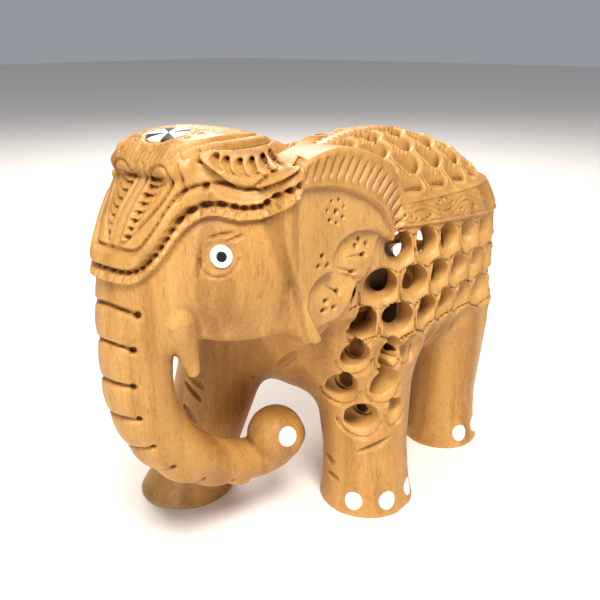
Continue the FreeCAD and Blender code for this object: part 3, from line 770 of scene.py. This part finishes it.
def eye_marks(x, y, z):
    u = round_head(x, y)
    depth = 0.45 * smooth(3.6 - np.hypot((u - EYE_U) * 0.9, z - 79), 0, 1.4)
    depth = np.maximum(depth, groove(u, z, [(23.0, 82.3), (25.0, 83.0), (27.0, 83.1)], 0.42, 0.8))
    depth = np.maximum(depth, groove(u, z, [(26.1, 81.5), (27.6, 82.2), (28.8, 82.5)], 0.40, 0.75))
    depth = np.maximum(depth, lens(u, z, (21.9, 81.6), (20.8, 74.0), 0.6, 0.9))
    lid = 0.5 * np.clip(1 - np.abs(np.hypot(u - EYE_U, (z - 78.6) * 0.95) - 3.5) / 0.5, 0, 1) * (z < 78.5)
    return depth + lid


print("eyes carved at", carve((-58, -26, 70), (-44, 26, 88), eye_marks, 2.0))

# %% [markdown]
# ## Ears
# The ear's rim is a fringe of rocking knife cuts that stands above the ear's face.  The face has a drilled
# flower, three dots, and two scooped lobes at the rear edge with dots and commas in them.

# %% Ear marks
EAR_INNER = through([(-41.5, 87.5), (-38.5, 90.4), (-34.5, 90.9), (-26.5, 89.6), (-18.5, 86.4), (-12.7, 82.2),
                     (-10.2, 77), (-9.6, 73)], False, 4)
EAR_OUTER = through([(-41.5, 91.5), (-37, 95.4), (-33, 97.3), (-27, 97.8), (-17.5, 95.6), (-9.8, 90.6),
                     (-5.9, 84), (-6.6, 78)], False, 4)


def ear_marks(x, y, z):
    far, along, hand, whole = away_from(x, z, EAR_INNER)
    inside = -far * hand
    depth = 1.15 * smooth(inside, -0.15, 0.2) * (1 - 0.45 * smooth(inside, 2, 9)) * smooth(x, -40, -38)
    count = 19
    reach_in = np.concatenate([[0], np.cumsum(np.hypot(*np.diff(EAR_INNER, axis=0).T))])
    reach_out = np.concatenate([[0], np.cumsum(np.hypot(*np.diff(EAR_OUTER, axis=0).T))])
    for i in range(count):
        t = (i + 0.8) / (count + 0.6)
        a = [np.interp(t * reach_in[-1] - 0.8, reach_in, EAR_INNER[:, k]) for k in (0, 1)]
        b = [np.interp(t * reach_out[-1] + 1.0, reach_out, EAR_OUTER[:, k]) for k in (0, 1)]
        a, b = np.array(a), np.array(b)
        depth = np.maximum(depth, lens(x, z, a + (b - a) * 0.16, a + (b - a) * 0.84, 0.62, 1.15))
    flower = (-27.5, 84.9)
    depth = np.maximum(depth, depth * 0 + dot(x, z, flower, 0.62, 1.9))
    for k in range(7):
        a = 2 * math.pi * (k + 0.25) / 7
        depth = np.maximum(depth, dot(x, z, (flower[0] + 2.55 * math.cos(a), flower[1] + 2.55 * math.sin(a)),
                                      0.46, 1.9))
    for at in ((-31.6, 76.2), (-32.7, 74.2), (-30.2, 73.9)):
        depth = np.maximum(depth, dot(x, z, at, 0.56, 1.9))
    for rim, dots, commas in (
        ([(-9.5, 75.0), (-12, 77.3), (-15, 78.6), (-18.6, 79.3), (-22.5, 79.4), (-26.1, 78.2), (-28.0, 75.9),
          (-28.4, 73.1), (-27.4, 70.6)],
         ((-18.9, 77.2), (-20.3, 75.9), (-16.9, 75.6)),
         (((-18.3, 73.6), (-26.0, 74.3)), ((-21.7, 70.4), (-26.9, 72.6)))),
        ([(-24.3, 70.6), (-28.4, 71.9), (-31.8, 71.8), (-34.6, 70.0), (-35.6, 67.2), (-35.0, 64.0),
          (-33.4, 61.0), (-31.5, 57.5)],
         ((-29.8, 65.8), (-27.8, 63.8), (-30.1, 63.6)),
         (((-25.9, 66.6), (-30.8, 70.1)),)),
    ):
        far, _, hand, _ = away_from(x, z, through(rim, False, 4))
        into = far * hand
        scoop = 2.2 * smooth(into, -0.15, 0.3) * (1 - smooth(into, 1.0, 9.5))
        mark = np.zeros(x.shape, np.float32)
        for at in dots:
            mark = np.maximum(mark, dot(x, z, at, 0.55, 1.2))
        for head_at, tail_to in commas:
            mark = np.maximum(mark, comma(x, z, head_at, tail_to, 0.62, 1.2))
        depth = np.maximum(depth, scoop) + mark
    return depth


print("ears carved at", carve((-42, -34, 54), (-3, 34, 100), ear_marks, 2.9,
                              lambda x, y, z: np.abs(y) > ear_face(x) - 3.0))

# %% [markdown]
# ## Loose strokes
# The carver fills empty places with single rocking cuts: on the chest, on the legs above the feet and
# along the back of the neck.  Each is a lens between two points on the surface.

# %% Strokes in space
STROKES = [((-20.6, 3.8, 39.6), (-23.1, 12.5, 47.3), 1.5, 1.9), ((-20.0, 5.0, 33.5), (-18.4, 10.6, 38.1), 1.3, 1.7),
           ((-12.1, 23.7, 18.0), (-5.7, 29.5, 22.0), 1.3, 1.5), ((-11.0, 24.0, 15.9), (-5.0, 29.2, 19.6), 0.8, 1.1),
           ((-10.8, 12.5, 13.4), (-13.4, 17.4, 12.6), 1.2, 1.8), ((-12.2, 14.4, 8.9), (-14.0, 19.4, 8.4), 1.1, 1.7),
           ((-31.1, 19.3, 36.5), (-31.0, 12.2, 32.0), 1.3, 1.8), ((-31.6, 19.0, 33.0), (-31.5, 12.6, 28.4), 1.1, 1.6),
           ((-33.0, 18.5, 27.0), (-33.9, 12.0, 22.6), 1.1, 1.6)]


def loose_marks(x, y, z):
    depth = np.zeros(x.shape, np.float32)
    for a, b, wide, deep in STROKES:
        a, b = np.array(a), np.array(b)
        leg = b - a
        v = np.abs(y)
        t = np.clip(((x - a[0]) * leg[0] + (v - a[1]) * leg[1] + (z - a[2]) * leg[2]) / (leg @ leg), 0, 1)
        far = np.sqrt((x - a[0] - leg[0] * t) ** 2 + (v - a[1] - leg[1] * t) ** 2 + (z - a[2] - leg[2] * t) ** 2)
        swell = np.sqrt(np.clip(4 * t * (1 - t), 0.03, 1))
        depth = np.maximum(depth, deep * swell * np.clip(1 - far / (wide * swell), 0, 1))
    return depth


print("loose strokes at", carve((-40, -33, 5), (0, 33, 52), loose_marks, 2.2))


def spine_marks(x, y, z):
    """Two rows of beads along the spine, and fine hair behind the crown."""
    v = np.abs(y)
    place = np.mod(x, 2.3) - 1.15
    bead = dot(place, v, (0, 1.9), 0.55, 1.1) * (x > -8) * (x < 60)
    line = 0.6 * np.clip(1 - np.abs(v - 3.2) / 0.4, 0, 1) * (x > -8)
    hair = 0.45 * np.abs(np.sin(2.1 * (v + 0.05 * (x + 20) ** 2 / 4))) ** 0.6 * smooth(x, -27, -24.5) * (1 - smooth(x, -13, -11))
    return np.maximum(np.maximum(bead, line), hair * (v < 22))


print("spine and neck carved at", carve((-28, -24, 84), (62, 24, 103), spine_marks, 1.8,
                                        lambda x, y, z: (np.abs(y) < 22) & (z > 84)))

# %% Outer limits
# The block was sawn to size first, so nothing stands out past its faces.
for axis, low, high in ((0, -67.8, 68.3), (1, -32.9, 32.9)):
    line = AXES[axis].astype(np.float32)
    shape = [1, 1, 1]
    shape[axis] = -1
    wood = np.maximum(wood, np.maximum(low - line, line - high).reshape(shape))

# %% [markdown]
# ## From numbers to a surface
# A surface net puts one point in every grid cell that the surface passes through, at the mean of the
# places where it crosses the cell's edges, and joins the four cells round each crossed edge with a
# face.  Each grid point inside the wood is given to a piece of the figure first; where two pieces meet
# the same points serve both, so every piece is a closed solid and the pieces fit without a gap.

# %% Owners
PIECES = ["head_left", "head_right", "trunk", "front_left_leg", "front_right_leg", "hind_left_leg",
          "hind_right_leg", "flank_left_front", "flank_left_rear", "flank_right_front",
          "flank_right_rear", "roof_left", "roof_right", "chest_and_belly", "inner_figure"]
owner = np.zeros(wood.shape, np.int8)
x, y, z = AXES[0][:, None, None], AXES[1][None, :, None], AXES[2][None, None, :]
left = y + 0 * x < 0
owner[...] = PIECES.index("chest_and_belly") + 1
for name, region in (
    ("flank_left_front", left & (z >= 38)), ("flank_right_front", ~left & (z >= 38)),
    ("flank_left_rear", left & (z >= 38) & (x > 24)), ("flank_right_rear", ~left & (z >= 38) & (x > 24)),
    ("roof_left", left & (z >= 80) & (x > -12)), ("roof_right", ~left & (z >= 80) & (x > -12)),
    ("head_left", left & (x < -12) & (z > 52)), ("head_right", ~left & (x < -12) & (z > 52)),
    ("front_left_leg", left & (z < 38) & (x < 18)), ("front_right_leg", ~left & (z < 38) & (x < 8)),
    ("hind_left_leg", left & (z < 38) & (x > 26)), ("hind_right_leg", ~left & (z < 38) & (x > 36)),
):
    owner[np.broadcast_to(region, owner.shape)] = PIECES.index(name) + 1
cut, x, y, z = block((-69, -16, 10), (-16, 12, 70))
part = owner[cut]
mine = np.zeros(part.shape, bool)
for a in LINE[::2]:
    mine |= (x - a[0]) ** 2 + (y - a[1]) ** 2 + (z - a[2]) ** 2 < (a[3] + 2.2) ** 2
mine |= ellipsoid(x, y, z, (-24.8, -7, 23.3), (7.4, 7.2, 7.4)) < 0.8
part[mine & (z < 62) & (x < -17)] = PIECES.index("trunk") + 1
owner[cut] = part
owner[inner] = PIECES.index("inner_figure") + 1
owner[wood >= 0] = 0
print("pieces:", len(PIECES))


# %% Surface net
def net():
    """Points of the surface net for the whole figure, and for each piece its four-sided faces."""
    flat, own = wood.ravel(), owner.ravel()
    stride = [COUNT[1] * COUNT[2], COUNT[2], 1]
    marked = np.zeros(flat.size, bool)
    crossings = []
    for axis in range(3):
        low = [slice(None)] * 3
        high = [slice(None)] * 3
        low[axis], high[axis] = slice(None, -1), slice(1, None)
        i, j, k = np.nonzero(owner[tuple(low)] != owner[tuple(high)])
        first = i * stride[0] + j * stride[1] + k
        second = first + stride[axis]
        u, v = (axis + 1) % 3, (axis + 2) % 3
        corners = np.stack([first - stride[u] - stride[v], first - stride[v], first, first - stride[u]], 1)
        real = (own[first] == 0) | (own[second] == 0)
        share = np.where(real, flat[first] / (flat[first] - flat[second] + 1e-12), 0.5)
        place = np.stack([i, j, k], 1).astype(np.float64)
        place[:, axis] += np.clip(share, 0.02, 0.98)
        crossings.append((corners, place, np.where(real, 1.0, 1e-7), own[first], own[second]))
        marked[corners.ravel()] = True
    index = np.cumsum(marked, dtype=np.int64) - 1
    total = int(index[-1]) + 1
    sums, weight = np.zeros((total, 3)), np.zeros(total)
    for corners, place, share, _, _ in crossings:
        for c in range(4):
            at = index[corners[:, c]]
            weight += np.bincount(at, share, total)
            for d in range(3):
                sums[:, d] += np.bincount(at, share * place[:, d], total)
    points = sums / weight[:, None]
    faces = {}
    for number in range(1, len(PIECES) + 1):
        mine = []
        for corners, _, _, a, b in crossings:
            quads = index[corners]
            mine += [quads[a == number], quads[b == number][:, ::-1]]
        faces[PIECES[number - 1]] = np.concatenate(mine)
    return points, faces


def sample(field, at):
    """Values of a grid between its points: the eight corners of the cell, weighted by nearness."""
    low = np.clip(np.floor(at).astype(np.int64), 0, COUNT - 2)
    part = at - low
    total = 0
    for dx in (0, 1):
        for dy in (0, 1):
            for dz in (0, 1):
                share = np.abs(1 - dx - part[:, 0]) * np.abs(1 - dy - part[:, 1]) * np.abs(1 - dz - part[:, 2])
                total = total + share * field[low[:, 0] + dx, low[:, 1] + dy, low[:, 2] + dz]
    return total


points, faces = net()
slopes = np.stack([sample(wood, points + d) - sample(wood, points - d) for d in np.eye(3) * 0.6], 1)
slopes /= np.linalg.norm(slopes, axis=1)[:, None] + 1e-9
depth_of_cut = np.clip(-sample(blank, points), 0, 12)
print(len(points), "points,", sum(len(f) for f in faces.values()) * 2, "triangles")


# %% [markdown]
# ## Painted shade in hollows, and rubbed edges
# Hollows are darkened as painted shade, and edges are rubbed pale.  The share of wood in a small cube round
# each point tells them apart: on a flat face it is a half, in a pit more, on an edge less.

# %% Hollowness
def blurred(field, reach):
    """Mean over a cube, as running sums along the three axes in turn."""
    for axis in range(3):
        total = np.cumsum(field, axis=axis, dtype=np.float32)
        size = field.shape[axis]
        high = np.clip(np.arange(size) + reach, 0, size - 1)
        low = np.clip(np.arange(size) - reach - 1, 0, size - 1)
        field = (np.take(total, high, axis) - np.take(total, low, axis)) / (2 * reach + 1)
    return field


solid = np.clip(0.5 - wood / STEP, 0, 1).astype(np.float32)
tight = sample(blurred(solid, max(1, round(1.0 / STEP))), points)
broad = sample(blurred(solid, max(2, round(2.8 / STEP))), points)
del solid
print("share of wood round the points: from", round(float(tight.min()), 2), "to", round(float(tight.max()), 2))

# %% [markdown]
# ## Wood
# Kadam is a pale honey wood with hardly any figure: soft upright bands a few millimetres wide, fine
# fibres, and short dark pores.  Fibres run up the block, so one noise is stretched along Z.  The effect
# serves two materials, so it is a node group that puts out masks.

# %% Node helpers
def node(tree, kind, **values):
    made = tree.nodes.new(kind)
    for key, value in values.items():
        setattr(made, key, value)
    return made


def link(tree, a, b):
    tree.links.new(a, b)


def sum_up(tree, operation, a, b, clamp=False):
    """A Math node on two sockets or numbers."""
    made = node(tree, "ShaderNodeMath", operation=operation, use_clamp=clamp)
    for socket, value in zip(made.inputs, (a, b)):
        if isinstance(value, (int, float)):
            socket.default_value = value
        else:
            link(tree, value, socket)
    return made.outputs[0]


def noise(tree, vector, scale, detail=2.0, rough=0.5):
    made = node(tree, "ShaderNodeTexNoise")
    made.inputs["Scale"].default_value = scale
    made.inputs["Detail"].default_value = detail
    made.inputs["Roughness"].default_value = rough
    link(tree, vector, made.inputs["Vector"])
    return made.outputs["Fac"]


def ramp(tree, value, stops):
    """A colour ramp from (place, colour) stops."""
    made = node(tree, "ShaderNodeValToRGB")
    while len(made.color_ramp.elements) < len(stops):
        made.color_ramp.elements.new(0.5)
    for element, (place, colour) in zip(made.color_ramp.elements, stops):
        element.position = place
        element.color = (*colour, 1)
    link(tree, value, made.inputs["Fac"])
    return made.outputs["Color"]


def mix(tree, share, a, b, blend="MIX"):
    made = node(tree, "ShaderNodeMix", data_type="RGBA", blend_type=blend)
    for socket, value in ((made.inputs[0], share), (made.inputs[6], a), (made.inputs[7], b)):
        if isinstance(value, (int, float)):
            socket.default_value = value
        elif isinstance(value, tuple):
            socket.default_value = (*value, 1)
        else:
            link(tree, value, socket)
    return made.outputs[2]


# %% Grain group
grain = bpy.data.node_groups.new("wood_grain", "ShaderNodeTree")
grain.interface.new_socket("Vector", in_out="INPUT", socket_type="NodeSocketVector")
for name in ("Bands", "Fibres", "Pores", "Height"):
    grain.interface.new_socket(name, in_out="OUTPUT", socket_type="NodeSocketFloat")
g_in, g_out = node(grain, "NodeGroupInput"), node(grain, "NodeGroupOutput")


def stretched(tree, vector, scale):
    made = node(tree, "ShaderNodeMapping")
    made.inputs["Scale"].default_value = scale
    link(tree, vector, made.inputs["Vector"])
    return made.outputs["Vector"]


upright = g_in.outputs["Vector"]
bands = noise(grain, stretched(grain, upright, (1, 1, 0.05)), 170, 2.0, 0.55)
fibres = noise(grain, stretched(grain, upright, (1, 1, 0.045)), 2100, 2.0, 0.6)
pores = noise(grain, stretched(grain, upright, (1, 1, 0.16)), 2900, 1.0, 0.5)
speck = noise(grain, stretched(grain, upright, (1, 1, 0.5)), 1500, 2.0, 0.6)
pore_mask = node(grain, "ShaderNodeMapRange")
pore_mask.inputs["From Min"].default_value = 0.60
pore_mask.inputs["From Max"].default_value = 0.70
link(grain, pores, pore_mask.inputs["Value"])
link(grain, bands, g_out.inputs["Bands"])
link(grain, sum_up(grain, "ADD", sum_up(grain, "MULTIPLY", fibres, 0.5), sum_up(grain, "MULTIPLY", speck, 0.5)),
     g_out.inputs["Fibres"])
link(grain, pore_mask.outputs[0], g_out.inputs["Pores"])
link(grain, sum_up(grain, "SUBTRACT", fibres, sum_up(grain, "MULTIPLY", pore_mask.outputs[0], 0.6)),
     g_out.inputs["Height"])


# %% Kadam wood
# The deep tone is both the real colour of the pores and the painted shade in hollows.
def wood_material(name, dark, mid, light, fresh, deep, fresh_share, rough):
    """Bands pick between three tones, pores darken, fresh cuts go pale, and hollows are darkened brown as painted
    shade.
    """
    made = bpy.data.materials.new(name)
    made.use_nodes = True
    tree = made.node_tree
    shader = tree.nodes["Principled BSDF"]
    place = node(tree, "ShaderNodeTexCoord").outputs["Object"]
    fibre = node(tree, "ShaderNodeGroup", node_tree=grain)
    link(tree, place, fibre.inputs["Vector"])
    tone = sum_up(tree, "ADD", sum_up(tree, "MULTIPLY", fibre.outputs["Bands"], 0.62),
                  sum_up(tree, "MULTIPLY", fibre.outputs["Fibres"], 0.38))
    colour = ramp(tree, tone, [(0.36, dark), (0.50, mid), (0.64, light)])
    depth = node(tree, "ShaderNodeAttribute", attribute_name="cut_depth").outputs["Fac"]
    tight = node(tree, "ShaderNodeAttribute", attribute_name="hollowness").outputs["Fac"]
    broad = node(tree, "ShaderNodeAttribute", attribute_name="shelter").outputs["Fac"]
    pale = node(tree, "ShaderNodeMapRange")
    pale.inputs["From Min"].default_value, pale.inputs["From Max"].default_value = 0.25, 1.3
    pale.inputs["To Max"].default_value = fresh_share
    link(tree, depth, pale.inputs["Value"])
    colour = mix(tree, pale.outputs[0], colour, fresh)
    worn = node(tree, "ShaderNodeMapRange")
    worn.inputs["From Min"].default_value, worn.inputs["From Max"].default_value = 0.46, 0.26
    worn.inputs["To Max"].default_value = 0.32
    link(tree, tight, worn.inputs["Value"])
    colour = mix(tree, worn.outputs[0], colour, fresh)
    # Painted shade: where much wood closes round a point, the colour is mixed up to 86 % towards the dark tone.
    hollow = node(tree, "ShaderNodeMapRange")
    hollow.inputs["From Min"].default_value, hollow.inputs["From Max"].default_value = 0.545, 0.72
    hollow.inputs["To Max"].default_value = 0.86
    link(tree, sum_up(tree, "ADD", sum_up(tree, "MULTIPLY", tight, 0.6), sum_up(tree, "MULTIPLY", broad, 0.4)),
         hollow.inputs["Value"])
    colour = mix(tree, hollow.outputs[0], colour, deep)
    dotted = sum_up(tree, "MULTIPLY", fibre.outputs["Pores"], 0.26)
    colour = mix(tree, dotted, colour, deep)
    link(tree, colour, shader.inputs["Base Color"])
    sheen = node(tree, "ShaderNodeMapRange")
    sheen.inputs["To Min"].default_value, sheen.inputs["To Max"].default_value = rough - 0.07, rough + 0.10
    link(tree, fibre.outputs["Fibres"], sheen.inputs["Value"])
    link(tree, sheen.outputs[0], shader.inputs["Roughness"])
    shader.inputs["Specular IOR Level"].default_value = 0.42
    bump = node(tree, "ShaderNodeBump")
    bump.inputs["Strength"].default_value = 0.35
    bump.inputs["Distance"].default_value = 0.00012
    link(tree, fibre.outputs["Height"], bump.inputs["Height"])
    link(tree, bump.outputs["Normal"], shader.inputs["Normal"])
    return made


kadam_wood = wood_material("kadam_wood", (0.31, 0.148, 0.038), (0.44, 0.228, 0.066), (0.54, 0.300, 0.098),
                           (0.64, 0.385, 0.140), (0.105, 0.038, 0.010), 0.45, 0.42)
# The inner figure is the same kadam wood; its much darker copy is painted shade for the dim inside of the body.
inner_wood = wood_material("inner_wood", (0.10, 0.062, 0.035), (0.15, 0.098, 0.058), (0.20, 0.135, 0.085),
                           (0.24, 0.165, 0.105), (0.045, 0.024, 0.012), 0.3, 0.58)


# %% Inlay materials
def inlay_material(name, low, high, rough):
    """A near-plain tone, broken by fine scratches and a faint cloud."""
    made = bpy.data.materials.new(name)
    made.use_nodes = True
    tree = made.node_tree
    shader = tree.nodes["Principled BSDF"]
    place = node(tree, "ShaderNodeTexCoord").outputs["Object"]
    cloud = sum_up(tree, "ADD", sum_up(tree, "MULTIPLY", noise(tree, place, 420, 3.0), 0.5),
                   sum_up(tree, "MULTIPLY", noise(tree, stretched(tree, place, (1, 0.1, 0.3)), 3000), 0.5))
    link(tree, ramp(tree, cloud, [(0.35, low), (0.65, high)]), shader.inputs["Base Color"])
    sheen = node(tree, "ShaderNodeMapRange")
    sheen.inputs["To Min"].default_value, sheen.inputs["To Max"].default_value = rough - 0.08, rough + 0.08
    link(tree, cloud, sheen.inputs["Value"])
    link(tree, sheen.outputs[0], shader.inputs["Roughness"])
    return made


white_inlay = inlay_material("white_inlay", (0.78, 0.80, 0.80), (0.90, 0.91, 0.90), 0.38)
black_inlay = inlay_material("black_inlay", (0.008, 0.008, 0.009), (0.020, 0.019, 0.020), 0.32)

# %% [markdown]
# ## Pieces
# Each piece takes the points that its faces use.  Normals come from the slope of the distance, which is
# smoother than the mean of the faces and is the same on both sides of a joint between two pieces.

# %% Figure pieces
FINISH = {"kadam_wood": kadam_wood, "inner_wood": inner_wood, "white_inlay": white_inlay,
          "black_inlay": black_inlay}


def solid_piece(name, co, quads, finish, normals=None, values=None):
    """A mesh object from points in millimetres and four-sided faces, on the root body."""
    used, local = np.unique(quads, return_inverse=True)
    mesh = bpy.data.meshes.new(name)
    mesh.vertices.add(len(used))
    mesh.vertices.foreach_set("co", (co[used] / 1000).astype(np.float32).ravel())
    mesh.loops.add(quads.size)
    mesh.loops.foreach_set("vertex_index", local.ravel().astype(np.int32))
    mesh.polygons.add(len(quads))
    mesh.polygons.foreach_set("loop_start", np.arange(0, quads.size, quads.shape[1], dtype=np.int32))
    mesh.polygons.foreach_set("use_smooth", np.ones(len(quads), bool))
    mesh.update(calc_edges=True)
    for key, value in (values or {}).items():
        mesh.attributes.new(key, "FLOAT", "POINT").data.foreach_set("value", value[used].astype(np.float32))
    if normals is not None:
        mesh.normals_split_custom_set_from_vertices(normals[used].astype(np.float32).tolist())
    mesh.materials.append(FINISH[finish])
    piece = bpy.data.objects.new(name, mesh)
    bpy.context.scene.collection.objects.link(piece)
    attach(piece, "root")
    return piece


places = LOW + points * STEP
# hollowness drives both the rubbed pale edges and, with shelter, the painted shade in hollows.
values = {"cut_depth": depth_of_cut, "hollowness": tight, "shelter": broad}
for name in PIECES:
    inside_one = name == "inner_figure"
    piece = solid_piece(name, places, faces[name], "inner_wood" if inside_one else "kadam_wood", slopes, values)
    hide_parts("inner_elephant" if inside_one else "carved_block")
    print(name, len(faces[name]) * 2, "triangles")

# %% [markdown]
# ## Inlays
# Bone and black discs are let into drilled pockets and sanded flush, so each disc's face is the wood's
# own surface inside the drill's circle.  A disc here is a polar grid: every point is slid along the
# drill's axis until it meets the uncut surface, then lifted by a hair.

# %% Inlay surfaces
def meet(start, along, reach):
    """Where lines first enter the uncut block: steps along each line, then the crossing between two
    steps by their two values."""
    t = np.linspace(0, reach, 161)
    at = start[:, None, :] + along[None, None, :] * t[None, :, None]
    value = sample(blank, ((at - LOW) / STEP).reshape(-1, 3)).reshape(len(start), -1)
    first = np.argmax(value < 0, axis=1)
    first = np.clip(first, 1, None)
    row = np.arange(len(start))
    a, b = value[row, first - 1], value[row, first]
    share = np.clip(a / (a - b + 1e-9), 0, 1)
    return start + along * (t[first - 1] + share * (t[1] - t[0]))[:, None]


def node_axis(name):
    """The points of a CAD inlay in millimetres, and the middle of their box."""
    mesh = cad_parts[name].data
    co = np.zeros(len(mesh.vertices) * 3)
    mesh.vertices.foreach_get("co", co)
    co = co.reshape(-1, 3) * 1000
    mid = (co.min(0) + co.max(0)) / 2
    return co, mid


def disc(name, centre, along, radius, finish, start=0.0, end=360.0, lift=0.05, sink=1.4,
         node_name=None, back=12.0):
    """A polar grid inside the drill's circle, slid onto the surface; a second skin, sunk into the
    pocket, and a rim close it."""
    along = np.array(along, float) / np.linalg.norm(along)
    side = np.cross(along, (0, 0, 1.0) if abs(along[2]) < 0.9 else (0, 1.0, 0))
    side /= np.linalg.norm(side)
    up = np.cross(side, along)
    whole = end - start >= 360
    rings, spokes = 7, 48 if whole else 13
    angle = np.radians(np.linspace(start, end, spokes, endpoint=not whole))
    share = np.linspace(0.02, 1, rings)
    r, a = np.meshgrid(share * radius, angle, indexing="ij")
    grid = (np.array(centre) - along * back + side * (r * np.cos(a))[..., None] + up * (r * np.sin(a))[..., None])
    top = meet(grid.reshape(-1, 3), along, back * 2).reshape(rings, spokes, 3)
    edge_drop = np.where(np.arange(rings) == rings - 1, lift - 0.07, lift)[:, None, None]
    top = top - along * edge_drop
    under = top + along * sink
    n = rings * spokes
    co = np.concatenate([top.reshape(-1, 3), under.reshape(-1, 3)])
    i = np.arange(rings - 1)[:, None]
    j = np.arange(spokes if whole else spokes - 1)[None, :]
    k = (j + 1) % spokes
    quad = np.stack([i * spokes + j, i * spokes + k, (i + 1) * spokes + k, (i + 1) * spokes + j], -1).reshape(-1, 4)
    j = j.ravel()
    k = (j + 1) % spokes
    last = (rings - 1) * spokes
    rim = np.stack([last + j, last + k, n + last + k, n + last + j], -1)
    hub = np.stack([k, j, n + j, n + k], -1)
    faces_ = [quad, quad[:, ::-1] + n, rim, hub]
    if not whole:
        i = np.arange(rings - 1)
        faces_ += [np.stack([i * spokes, (i + 1) * spokes, n + (i + 1) * spokes, n + i * spokes], -1),
                   np.stack([(i + 1) * spokes + spokes - 1, i * spokes + spokes - 1,
                             n + i * spokes + spokes - 1, n + (i + 1) * spokes + spokes - 1], -1)]
    quads = np.concatenate(faces_)
    piece = solid_piece(name, co, quads, finish)
    work = bmesh.new()
    work.from_mesh(piece.data)
    bmesh.ops.recalc_face_normals(work, faces=work.faces)
    for e in work.edges:
        if e.is_manifold and e.calc_face_angle(0) > 0.6:
            e.smooth = False
    work.to_mesh(piece.data)
    work.free()
    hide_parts(node_name or name)
    return piece


EYE_TURN = 55
for hand, word in ((-1, "left"), (1, "right")):
    for number in (1, 2, 3):
        for foot in ("front", "hind"):
            name = "toenail_%s_%s_%d" % (foot, word, number)
            co, mid = node_axis(name)
            fx, fy = LEGS[foot + "_" + word][1]
            out = np.array([mid[0] - fx, mid[1] - fy, 0])
            out /= np.linalg.norm(out)
            disc("nail_%s_%s_%d" % (foot, word, number), mid, -out, 2.5, "white_inlay", node_name=name)
    name = "trunk_tip_disc_" + word
    co, mid = node_axis(name)
    turn, rise = math.radians(70), math.radians(21)
    out = np.array([-math.cos(turn) * math.cos(rise), hand * math.sin(turn) * math.cos(rise), math.sin(rise)])
    disc("tip_disc_" + word, mid, -out, 2.6, "white_inlay", node_name=name, back=3.5)
    t = math.radians(EYE_TURN)
    out = (math.cos(t), -hand * math.sin(t), 0)
    co, mid = node_axis("eye_white_" + word)
    disc("eye_%s" % word, mid, out, 2.1, "white_inlay", node_name="eye_white_" + word)
    disc("pupil_%s" % word, mid, out, 1.05, "black_inlay", lift=0.11, node_name="eye_pupil_" + word)
co = np.concatenate([node_axis("rosette_white_%d" % n)[0] for n in (1, 2, 3, 4)])
mid = (co.min(0) + co.max(0)) / 2
tilt = math.radians(24)
down = (math.sin(tilt), 0, -math.cos(tilt))
for n in range(4):
    disc("rosette_light_%d" % (n + 1), mid, down, 4.5, "white_inlay", n * 90 - 27, n * 90 + 27,
         node_name="rosette_white_%d" % (n + 1))
    disc("rosette_dark_%d" % (n + 1), mid, down, 4.5, "black_inlay", n * 90 + 27, n * 90 + 63,
         node_name="rosette_black_%d" % (n + 1))

# %% [markdown]
# ## Floor, light and camera
# A pale floor and three soft area lights, as on a product table.  The camera stands in front and to the
# left, a little above the head, and looks down by twenty degrees.

# %% Stage
floor_mesh = bpy.data.meshes.new("table_top")
floor_mesh.from_pydata([(-3, -3, 0), (3, -3, 0), (3, 3, 0), (-3, 3, 0)], [], [(0, 1, 2, 3)])
floor = bpy.data.objects.new("table_top", floor_mesh)
bpy.context.scene.collection.objects.link(floor)
paint = bpy.data.materials.new("pale_table")
paint.use_nodes = True
paint.node_tree.nodes["Principled BSDF"].inputs["Base Color"].default_value = (0.84, 0.79, 0.74, 1)
paint.node_tree.nodes["Principled BSDF"].inputs["Roughness"].default_value = 0.6
floor_mesh.materials.append(paint)
floor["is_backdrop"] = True
world = bpy.data.worlds.new("studio")
bpy.context.scene.world = world
world.use_nodes = True
world.node_tree.nodes["Background"].inputs["Color"].default_value = (0.88, 0.92, 1.0, 1)
world.node_tree.nodes["Background"].inputs["Strength"].default_value = 0.32


def lamp(name, place, target, size, power, colour):
    light = bpy.data.lights.new(name, "AREA")
    light.shape, light.size, light.energy, light.color = "DISK", size, power, colour
    made = bpy.data.objects.new(name, light)
    made.location = place
    made.rotation_euler = (Vector(target) - Vector(place)).to_track_quat("-Z", "Y").to_euler()
    bpy.context.scene.collection.objects.link(made)
    return made


lamp("key", (-0.25, -0.35, 0.75), (0, 0, 0.05), 0.35, 7.8, (1.0, 0.97, 0.92))
lamp("front_fill", (-0.8, -0.15, 0.30), (0, 0, 0.05), 0.5, 2.2, (0.95, 0.97, 1.0))
lamp("rim", (0.35, 0.35, 0.55), (0, 0, 0.06), 0.3, 3.2, (1.0, 0.98, 0.95))

# %% Camera
eye_data = bpy.data.cameras.new("camera")
eye_data.lens, eye_data.sensor_width = 42.0, 36.0
eye_data.clip_start, eye_data.clip_end = 0.01, 20
camera = bpy.data.objects.new("camera", eye_data)
heading, dip = math.radians(39.55), math.radians(20.66)
ahead = Vector((math.cos(heading) * math.cos(dip), math.sin(heading) * math.cos(dip), -math.sin(dip)))
right = ahead.cross(Vector((0, 0, 1))).normalized()
above = right.cross(ahead)
turned = Matrix((right, above, -ahead)).transposed().to_4x4()
camera.matrix_world = Matrix.Translation((-0.1410, -0.1111, 0.1186)) @ turned
bpy.context.scene.collection.objects.link(camera)
bpy.context.scene.camera = camera
bpy.context.scene.view_settings.view_transform = "Standard"
bpy.context.scene.view_settings.look = "Medium High Contrast"

# %% Sizes
low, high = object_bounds()
print("visual box in mm:", [round(v * 1000, 1) for v in low], [round(v * 1000, 1) for v in high])
